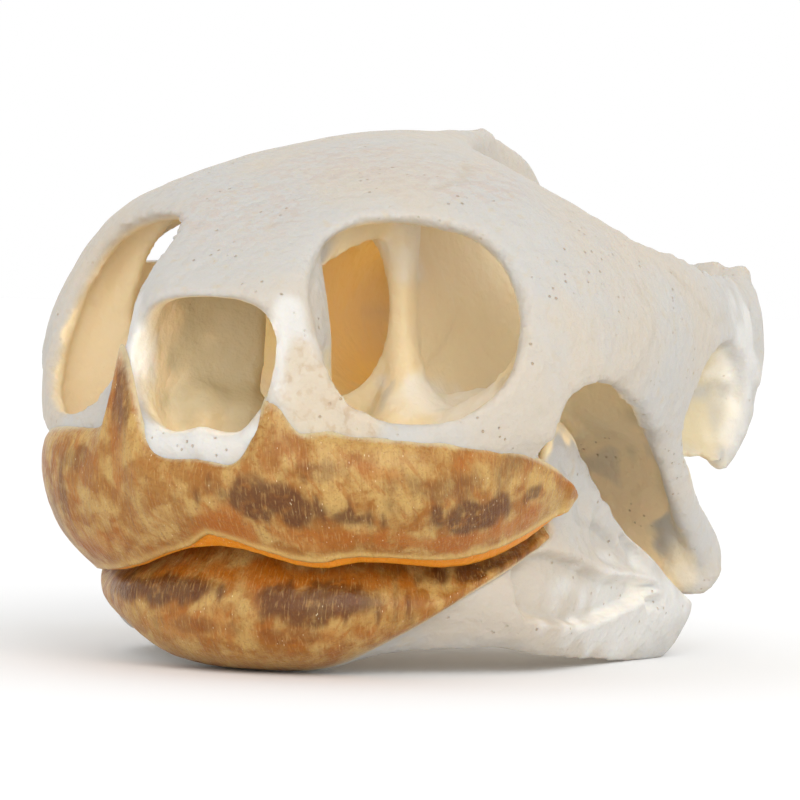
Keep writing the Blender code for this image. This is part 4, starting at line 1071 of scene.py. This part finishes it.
# %% Places with their own surface: pores, ragged rims and seams
POROUS = (
    ((0, 0.3, 12.3), (5.2, 1.6, 1.5)), ((14.6, 15.5, 21.5), (2.6, 3.4, 4.2)),
    ((13.0, 30.0, 24.0), (4.0, 5.0, 3.0)), ((13.6, 26.8, 2.6), (1.5, 5.0, 1.6)),
    ((8.8, 3.4, 14.4), (2.0, 2.4, 1.6)),
)
RAGGED = (
    ((15.0, 39.5, 14.5), (2.6, 2.6, 6.5)), ((12.4, 21.5, 9.4), (1.6, 5.0, 3.4)),
    ((0, 0.3, 12.6), (5.0, 1.6, 1.6)), ((8.6, 18.8, 15.4), (3.6, 1.2, 1.4)),
    ((13.0, 41.0, 21.6), (2.4, 2.4, 2.4)), ((7.5, 2.0, 13.8), (2.2, 2.4, 1.6)),
)
SEAMS = (
    ((16.6, 19.5, 20.5), (17.0, 20.0, 19.4), (17.2, 19.9, 18.4), (17.2, 18.8, 17.3), (17.1, 17.0, 16.1),
     (16.9, 15.8, 15.6)),
    ((8.0, 11.3, 25.8), (8.2, 12.6, 26.2), (8.4, 14.2, 26.6), (7.5, 16.3, 27.2)),
    ((16.2, 24.5, 21.6), (16.8, 27.4, 19.6), (16.6, 30.2, 18.4), (15.8, 33.4, 19.0)),
)
NAMED_SPOTS = (
    ("hollow", HOLLOW), ("ragged", RAGGED), ("stain", STAINED), ("glow_through_bone", GLOW_THROUGH_BONE_SPOTS),
    ("hollow_light", HOLLOW_LIGHT_SPOTS), ("porous", POROUS), ("pink", PINKISH), ("white", WHITE),
)

# %% How strongly each point belongs to such places
SPOT_EDGE = ((0.35, 1, 1.1),)
SPOT_REACH, SPOT_SOFT = 1.2, 0.6  # in radii
SEAM_WIDTH = 0.28
SEAM_WANDER, WANDER_SIZE = 0.25, 0.8


def spots(places, listed):
    strength = np.zeros(len(places))
    ragged = layers_of_lumps(places, SPOT_EDGE, 11)
    for centre, radii in listed:
        far = np.linalg.norm((places - centre) / np.array(radii), axis=1)
        strength = np.maximum(strength, smooth_step((SPOT_REACH - far + ragged) / SPOT_SOFT))
    return strength


def far_from(places, lines):
    nearest = np.full(len(places), np.inf)
    wander = places + SEAM_WANDER * np.stack([lumps(places, WANDER_SIZE, k) for k in (31, 32, 33)], -1)
    for line in lines:
        for a, b in zip(np.array(line), np.array(line)[1:]):
            share = np.clip((wander - a) @ (b - a) / ((b - a) @ (b - a)), 0, 1)
            nearest = np.minimum(nearest, np.linalg.norm(wander - a - share[:, None] * (b - a), axis=1))
    return nearest


# %% Raise gentle lumps on the bone, and keep the values
BONE_LUMPS = ((0.10, 1, 4.5), (0.045, 1, 1.5), (0.02, 1, 0.7))
RAGGED_LUMPS = ((0.22, 1, 1.0),)
SEAM_DEPTH, SEAM_REACH = 0.06, 1.3
SHELTER_ROUNDS = 6

everything = [places_of(cranium), places_of(jaw)]
jaw_faces = [tuple(k + len(everything[0]) for k in face) for face in faces_of(jaw)]
solid = BVHTree.FromPolygons(np.concatenate(everything).tolist(), faces_of(cranium) + jaw_faces)
for piece in (cranium, jaw):
    places = places_of(piece)
    give(piece, "shelter", spread(piece, shelter_of(piece, solid), SHELTER_ROUNDS))
    give(piece, "seam", smooth_step(SEAM_REACH - far_from(places, SEAMS) / SEAM_WIDTH))
    for name, listed in NAMED_SPOTS:
        give(piece, name, spots(places, listed))
    relief = layers_of_lumps(places, BONE_LUMPS, 1)
    relief += kept(piece, "ragged") * layers_of_lumps(places, RAGGED_LUMPS, 4)
    relief -= SEAM_DEPTH * kept(piece, "seam")
    move_to(piece, places + relief[:, None] * directions_of(piece))
print("bone values after", round(time.time() - started, 1), "s")

# %% [markdown]
# ## Stains and patches of the horn
#
# The horn is clear honey brown, so it shows what lies in and under it: dark bands where pigment grew in,
# pale gaps between them, and orange where it is thick. These are given in mm along the beak from
# the midline (left is positive) and in mm up from the cutting edge. A coarse noise makes their edges ragged.

# %% Patches: (along, up, half length, half height, strength)
UPPER_DARK = (
    (4.4, 4.1, 4.6, 1.0, 1.0), (8.9, 3.7, 1.7, 0.7, 1.0), (15.4, 4.2, 3.6, 1.1, 1.0),
    (20.5, 3.8, 0.8, 0.5, 0.9), (14.0, 6.0, 2.6, 0.8, 0.5), (-5.4, 9.8, 0.7, 2.6, 0.8),
    (-10.6, 5.4, 0.5, 2.0, 0.7), (-9.6, 7.4, 1.3, 0.8, 0.5), (7.2, 6.2, 1.6, 0.7, 0.5),
    (19.0, 6.0, 1.3, 1.0, 0.5), (-12.5, 4.5, 1.0, 2.5, 0.5),
)
UPPER_PALE = (
    (22.8, 0.8, 1.5, 1.8, 1.0), (4.3, 5.0, 1.2, 0.4, 0.9), (11.0, 4.6, 0.5, 2.4, 0.8),
    (3.4, 8.2, 1.6, 2.6, 1.0), (8.0, 7.8, 2.0, 0.8, 0.7), (12.6, 7.8, 2.4, 0.9, 0.6),
    (17.4, 7.0, 2.2, 1.0, 0.5), (-8.2, 4.3, 0.45, 0.75, 0.9), (-2.5, 6.0, 3.2, 3.4, 0.35),
    (12.0, 5.9, 1.0, 0.6, 0.6), (20.8, 5.0, 1.1, 0.6, 0.5), (-6.8, 6.0, 1.2, 1.8, 0.3),
)
UPPER_ORANGE = (
    (14.6, 2.4, 6.8, 0.75, 0.9), (1.0, 1.9, 2.2, 1.4, 1.0), (6.5, 2.2, 3.0, 0.7, 0.6),
    (-5.5, 9.0, 1.0, 3.4, 0.5), (-8.5, 2.2, 2.6, 0.9, 0.5), (16.6, 7.6, 1.6, 0.5, 0.6),
    (20.8, 2.2, 1.5, 0.8, 0.8), (10.0, 6.4, 1.4, 0.5, 0.5),
)
LOWER_DARK = (
    (-3.5, 3.3, 4.6, 0.8, 1.0), (6.0, 3.6, 4.6, 1.2, 1.0), (15.5, 2.0, 4.0, 0.8, 1.0),
    (-1.6, 5.3, 2.4, 0.5, 0.5), (4.2, 5.6, 1.8, 0.4, 0.5), (-8.5, 3.4, 1.4, 0.8, 0.7),
)
LOWER_PALE = (
    (1.1, 4.4, 0.6, 2.3, 0.9), (9.8, 4.5, 2.6, 1.0, 0.7), (1.0, 7.6, 7.0, 1.2, 0.8),
    (-6.0, 5.6, 2.0, 1.2, 0.5),
)
LOWER_ORANGE = (
    (2.5, 2.2, 9.0, 0.8, 1.0), (-1.6, 5.3, 2.6, 0.9, 0.7), (4.2, 5.6, 2.2, 0.6, 0.6),
    (8.0, 5.4, 1.8, 0.7, 0.5),
)


# %% Lay the patches on both sheaths
PATCH_EDGE = ((0.45, (1, 0.5, 1), 0.9), (0.3, (1, 0.3, 1), 0.35))
PATCH_REACH, PATCH_SOFT = 1.25, 0.7  # in half lengths


def patches(along, up, listed, seed):
    ragged = layers_of_lumps(np.stack([along, up, np.zeros(len(along))], -1), PATCH_EDGE, seed)
    strength = np.zeros(len(along))
    for middle, height, half_length, half_height, share in listed:
        far = np.hypot((along - middle) / half_length, (up - height) / half_height)
        strength = np.maximum(strength, share * smooth_step((PATCH_REACH - far + ragged) / PATCH_SOFT))
    return strength


for piece, listed in (
    (upper_horn, (UPPER_DARK, UPPER_PALE, UPPER_ORANGE)), (lower_horn, (LOWER_DARK, LOWER_PALE, LOWER_ORANGE)),
):
    for seed, (name, each) in enumerate(zip(("dark", "pale", "orange"), listed)):
        give(piece, name, patches(kept(piece, "along"), kept(piece, "up"), each, 20 + 3 * seed))
print("horn patches after", round(time.time() - started, 1), "s")

# %% [markdown]
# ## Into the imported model's place
#
# The pieces could have been drawn in metres from the start, but plain millimetres are easier to read. So
# each finished mesh is moved once: it takes its place in metres, stands for its node, and rides on the one
# body. The jaw's lumps may reach a hair below the table, so every point is kept above it.

# %% Place the pieces and name what they replace
PIECES = (
    (cranium, "cranium", "bone"),
    (jaw, "lower_jaw", "bone"),
    (upper_horn, "upper_beak_sheath", "horn"),
    (lower_horn, "lower_beak_sheath", "horn"),
)

for piece, node, slot in PIECES:
    piece.data.transform(TO_MODEL)
    move_to(piece, np.maximum(places_of(piece), (-np.inf, -np.inf, 0)))
    piece.data.shade_smooth()
    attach(piece, "root")
    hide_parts(node)
    tell(piece)

# %% [markdown]
# ## Materials
#
# Blender builds a material from nodes. They can be wired by hand, but a small helper keeps the steps of a
# surface in reading order: start from one colour, then tint it, each time by a share and a strength.

# %% A helper that builds nodes
class Look:
    def __init__(self, name):
        self.material = bpy.data.materials.new(name)
        self.material.use_nodes = True
        self.tree = self.material.node_tree
        self.surface = self.tree.nodes["Principled BSDF"]
        self.mm = self.stretch(self.node("ShaderNodeTexCoord")["Object"], (1 / MM,) * 3)

    def node(self, kind, sockets=None, **settings):
        made = self.tree.nodes.new(kind)
        for key, value in settings.items():
            setattr(made, key, value)
        for key, value in (sockets or {}).items():
            self.feed(made.inputs[key], value)
        return made.outputs

    def feed(self, socket, value):
        if isinstance(value, bpy.types.NodeSocket):
            self.tree.links.new(value, socket)
        else:
            socket.default_value = (*value, 1) if socket.type == "RGBA" else value

    def finish(self, sockets):
        for name, value in sockets.items():
            self.feed(self.surface.inputs[name], value)

    def value(self, name):
        return self.node("ShaderNodeAttribute", attribute_name=name)["Fac"]

    def stretch(self, where, by):
        return self.node("ShaderNodeVectorMath", {0: where, 1: by}, operation="MULTIPLY")[0]

    def noise(self, where, per_mm, detail=3, distortion=0.0):
        sockets = {"Vector": where, "Scale": per_mm, "Detail": detail, "Distortion": distortion}
        return self.node("ShaderNodeTexNoise", sockets)[0]

    def cells(self, where, per_mm):
        sockets = {"Vector": where, "Scale": per_mm, "Randomness": 1.0}
        return self.node("ShaderNodeTexVoronoi", sockets)["Distance"]

    def step(self, value, low, high):
        sockets = {"Value": value, "From Min": low, "From Max": high}
        return self.node("ShaderNodeMapRange", sockets, interpolation_type="SMOOTHSTEP")[0]

    def times(self, a, b):
        return self.node("ShaderNodeMath", {0: a, 1: b}, operation="MULTIPLY")[0]

    def plus(self, a, b):
        return self.node("ShaderNodeMath", {0: a, 1: b}, operation="ADD")[0]

    def blend(self, share, a, b):
        return self.node("ShaderNodeMix", {0: share, 6: a, 7: b}, data_type="RGBA")[2]

    def tint(self, share, paint, strength=None):
        amount = share if strength is None else self.times(share, strength)
        self.colour = self.blend(amount, self.colour, paint)

    def bump(self, height, depth, before=None):
        sockets = {"Height": height, "Distance": depth * MM, "Strength": 1.0}
        if before is not None:
            sockets["Normal"] = before
        return self.node("ShaderNodeBump", sockets)[0]


# %% [markdown]
# ## Bone
#
# Cleaned bone is chalky and slightly see-through at its thin edges. Its outside goes from cool white to warm
# cream in soft clouds, with fine pores that hold brown dust near the growing edges. Where the bone inside is
# sheltered, warm buff is painted in for the light that bounces in the hollows, and deep yellow for the light
# that comes through thin walls. Some light goes into the surface and out again nearby, which is what keeps
# bone from looking like plaster.

# %% Bone's colours, as shares of red, green and blue light
COOL_WHITE, WARM_CREAM, DUSTY = (0.485, 0.465, 0.43), (0.52, 0.46, 0.38), (0.50, 0.445, 0.36)
PINK_GREY, SEAM_BROWN, DUST_BROWN = (0.485, 0.405, 0.35), (0.45, 0.38, 0.28), (0.42, 0.28, 0.15)
# the three warm inner colours here are painted light, in the hollows and through thin bone
PAINTED_HOLLOW_LIGHT, PAINTED_HOLLOW_GLOW, PAINTED_GLOW_THROUGH_BONE = (0.90, 0.745, 0.48), (0.64, 0.54, 0.345), (0.98, 0.74, 0.36)
# the inside chalk is painted light, brighter where the bone is in shade
CHALK_OUTSIDE, CHALK_WITH_PAINTED_LIGHT = (0.64, 0.625, 0.59), (0.92, 0.87, 0.77)
HORN_STAIN, DARK_STAIN = (0.57, 0.475, 0.345), (0.44, 0.30, 0.17)

# %% Bone's colour, from its outside to its hollows
bone = Look("bone")
shelter, hollow_light = bone.value("shelter"), bone.value("hollow_light")
grain = bone.noise(bone.mm, 1.3, 5)
clouds = bone.noise(bone.mm, 0.11, 3, 0.4)
bone.colour = bone.blend(bone.step(clouds, 0.38, 0.64), COOL_WHITE, WARM_CREAM)
bone.tint(bone.step(grain, 0.55, 0.75), DUSTY)
veils = bone.step(bone.noise(bone.mm, 1.6, 7, 0.6), 0.44, 0.60)
bone.tint(bone.times(bone.value("pink"), veils), PINK_GREY, 0.6)
# painted light: sheltered bone and the listed spots turn warm buff, for light through thin walls and between
# them
hollow_light_share = bone.plus(bone.times(shelter, bone.plus(1.0, bone.times(hollow_light, 2.2))), bone.times(hollow_light, 0.45))
bone.tint(bone.step(hollow_light_share, 0.22, 0.68), PAINTED_HOLLOW_LIGHT)
# painted light: sheltered bone in the ears and the nose turns a darker warm yellow-brown
bone.tint(bone.times(bone.value("hollow"), bone.step(shelter, 0.04, 0.2)), PAINTED_HOLLOW_GLOW)
bone.tint(bone.value("seam"), SEAM_BROWN, 0.35)
# painted light: an orange-yellow glow for light coming through thin bone
bone.tint(bone.times(bone.value("glow_through_bone"), bone.step(shelter, 0.3, 0.6)), PAINTED_GLOW_THROUGH_BONE)
# white spots: chalk outside, and where sheltered a brighter chalk painted in as light
bone.tint(bone.value("white"), bone.blend(bone.step(shelter, 0.1, 0.4), CHALK_OUTSIDE, CHALK_WITH_PAINTED_LIGHT), 0.85)
blotches = bone.step(bone.noise(bone.mm, 1.8, 6, 0.3), 0.46, 0.68)
bone.tint(bone.value("stain"), HORN_STAIN, 0.8)
bone.tint(bone.times(bone.value("stain"), blotches), DARK_STAIN, 0.5)

# %% Its pores, its roughness and how light goes into it
patchy = bone.step(bone.noise(bone.mm, 0.35, 2), 0.50, 0.62)
where_pores = bone.node("ShaderNodeMath", {0: bone.value("porous"), 1: patchy}, operation="MAXIMUM")[0]
pores = bone.times(bone.step(bone.cells(bone.mm, 1.7), 0.17, 0.07), where_pores)
pores = bone.times(pores, bone.step(shelter, 0.6, 0.1))
bone.tint(pores, DUST_BROWN, 0.6)
uneven = bone.bump(bone.noise(bone.mm, 1.1, 7), 0.22)
bone.finish({
    "Base Color": bone.colour,
    "Roughness": bone.plus(0.42, bone.times(grain, 0.2)),
    "Normal": bone.bump(bone.plus(1.0, bone.times(pores, -1.0)), 0.10, uneven),
    "Specular IOR Level": 0.45,
    "Subsurface Weight": 0.4,
    "Subsurface Radius": (1.0, 0.62, 0.34),
    "Subsurface Scale": 0.8 * MM,
})
print("bone:", len(bone.tree.nodes), "nodes")

# %% [markdown]
# ## Horn
#
# Beak horn is glossy where it rubs and full of fine fibres that run down to the edge. Honey brown is its
# ground colour, the patches above tint it, and it thins to cream where it grows from the bone. The noises
# use the distances along and up the beak, squeezed, so that they draw out into fibres that follow it round.

# %% Horn's colours
HONEY_BROWN, HONEY, FOXY_RED = (0.31, 0.12, 0.014), (0.50, 0.31, 0.095), (0.36, 0.12, 0.012)
FIBRE_BROWN, FIBRE_PALE, GRIT_BROWN = (0.29, 0.095, 0.015), (0.58, 0.36, 0.13), (0.22, 0.085, 0.015)
PATCH_ORANGE, PATCH_PALE, PATCH_DARK = (0.38, 0.105, 0.002), (0.45, 0.275, 0.08), (0.10, 0.031, 0.005)
# the lip's pale colour is a painted highlight
PAINTED_LIP_HIGHLIGHT, EDGE_ORANGE = (0.68, 0.45, 0.15), (0.80, 0.27, 0.01)
# the pale dash colour: partly real bright specks and scratches, partly painted glints of light
BORDER_CREAM, SPECKS_AND_PAINTED_GLINTS = (0.60, 0.48, 0.30), (0.88, 0.74, 0.48)

# %% Noises that follow the beak
horn = Look("horn")
along, up = horn.value("along"), horn.value("up")
flat = horn.node("ShaderNodeCombineXYZ", {0: along, 1: up, 2: 0.0})[0]
fibre_way = horn.stretch(flat, (1.0, 0.16, 1.0))
fibres = horn.noise(fibre_way, 3.2, 6, 0.5)
speckle = horn.noise(horn.mm, 3.4, 4, 0.4)
slant = horn.plus(along, horn.times(up, 0.5))
slanted = horn.node("ShaderNodeCombineXYZ", {0: slant, 1: horn.times(up, 0.4), 2: 0.0})[0]

# %% Horn's colour, from its ground to its pale specks and painted glints
mottle = horn.step(horn.noise(horn.mm, 0.7, 5, 0.3), 0.40, 0.62)
horn.colour = horn.blend(mottle, HONEY_BROWN, HONEY)
horn.tint(horn.step(horn.noise(slanted, 1.6, 6, 0.4), 0.52, 0.66), FOXY_RED, 0.6)
horn.tint(horn.step(fibres, 0.46, 0.68), FIBRE_BROWN, 0.3)
horn.tint(horn.value("orange"), PATCH_ORANGE, 0.8)
horn.tint(horn.times(horn.value("pale"), horn.step(speckle, 0.25, 0.60)), PATCH_PALE, 0.75)
broken = horn.step(horn.noise(horn.mm, 1.5, 4, 0.3), 0.16, 0.50)
horn.tint(horn.times(horn.value("dark"), broken), PATCH_DARK, 0.88)
horn.tint(horn.step(horn.noise(fibre_way, 9.0, 4, 0.3), 0.52, 0.70), FIBRE_PALE, 0.35)
horn.tint(horn.step(horn.noise(horn.mm, 7.0, 4), 0.52, 0.70), GRIT_BROWN, 0.4)
# painted highlight along the rounded lip
horn.tint(horn.value("lip"), PAINTED_LIP_HIGHLIGHT, 0.7)
horn.tint(horn.value("below_lip"), EDGE_ORANGE, 0.9)
ragged_border = horn.plus(horn.value("border"), horn.times(speckle, 0.5))
horn.tint(horn.step(ragged_border, 0.55, 1.25), BORDER_CREAM, 0.85)
# pale dashes: partly real bright specks and scratches in the horn, partly painted glints
dashes = horn.step(horn.cells(horn.stretch(flat, (1.0, 0.45, 1.0)), 3.8), 0.13, 0.05)
horn.tint(horn.times(dashes, horn.step(horn.noise(horn.mm, 0.5, 2), 0.44, 0.56)), SPECKS_AND_PAINTED_GLINTS, 0.6)

# %% Its gloss and relief
horn.finish({
    "Base Color": horn.colour,
    "Roughness": horn.plus(0.26, horn.times(speckle, 0.28)),
    "Normal": horn.bump(speckle, 0.08, horn.bump(fibres, 0.10)),
    "Specular IOR Level": 0.28,
    "Coat Weight": 0.12,
    "Coat Roughness": 0.2,
    "Subsurface Weight": 0.25,
    "Subsurface Radius": (1.0, 0.42, 0.12),
    "Subsurface Scale": 0.8 * MM,
})
print("horn:", len(horn.tree.nodes), "nodes")

# %% Give each piece its material
for piece, node, slot in PIECES:
    piece.data.materials.clear()
    piece.data.materials.append((bone if slot == "bone" else horn).material)

# %% [markdown]
# ## The studio
#
# The photograph is bright and almost without shadow. A pale floor and a white surround give most of the
# light. A very wide sun from above the front right adds form, and a large weak disk in front opens the
# sockets. The braincase's thin walls let light through, which would take thin see-through bone and a long
# render, so a tiny warm lamp inside it stands for that light.

# %% Floor
FLOOR_HALF_SIDE = 3.0
JUST_BELOW = 0.00002  # so that the floor and the jaw's flat underside don't share a face
corners = [(-1, -1), (1, -1), (1, 1), (-1, 1)]
floor = bpy.data.objects.new("floor", bpy.data.meshes.new("floor"))
floor.data.from_pydata([(FLOOR_HALF_SIDE * x, FLOOR_HALF_SIDE * y, 0) for x, y in corners], [], [(0, 1, 2, 3)])
bpy.context.scene.collection.objects.link(floor)
floor.location.z = -JUST_BELOW
paint = bpy.data.materials.new("pale_floor")
paint.use_nodes = True
paint.node_tree.nodes["Principled BSDF"].inputs["Base Color"].default_value = (0.9, 0.9, 0.9, 1)
paint.node_tree.nodes["Principled BSDF"].inputs["Roughness"].default_value = 0.9
floor.data.materials.append(paint)

# %% White surround
world = bpy.data.worlds.new("surround")
bpy.context.scene.world = world
world.use_nodes = True
world.node_tree.nodes["Background"].inputs["Color"].default_value = (1, 1, 1, 1)
world.node_tree.nodes["Background"].inputs["Strength"].default_value = 1.0


# %% Lamps
def lamp(kind, name, place, aim, power):
    light = bpy.data.objects.new(name, bpy.data.lights.new(name, kind))
    light.data.energy = power
    light.location = place
    light.rotation_euler = (Vector(aim) - Vector(place)).to_track_quat("-Z", "Y").to_euler()
    bpy.context.scene.collection.objects.link(light)
    return light.data


MIDDLE = (0, 0, 0.015)
IN_THE_BRAINCASE = TO_MODEL @ Vector((1.6, 24.5, 19.5))
lamp("SUN", "key", (0.42, -0.34, 0.32), MIDDLE, power=1.0).angle = math.radians(40)
front = lamp("AREA", "front", (0.16, -0.42, 0.12), MIDDLE, power=0.4)
front.shape = "DISK"
front.size = 0.36
glow = lamp("POINT", "through_thin_bone", IN_THE_BRAINCASE, MIDDLE, power=0.00014)
glow.shadow_soft_size = 0.8 * MM
glow.color = (1.0, 0.78, 0.38)
bpy.context.scene.view_settings.view_transform = "Standard"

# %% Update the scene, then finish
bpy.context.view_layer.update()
print("whole scene after", round(time.time() - started, 1), "s")
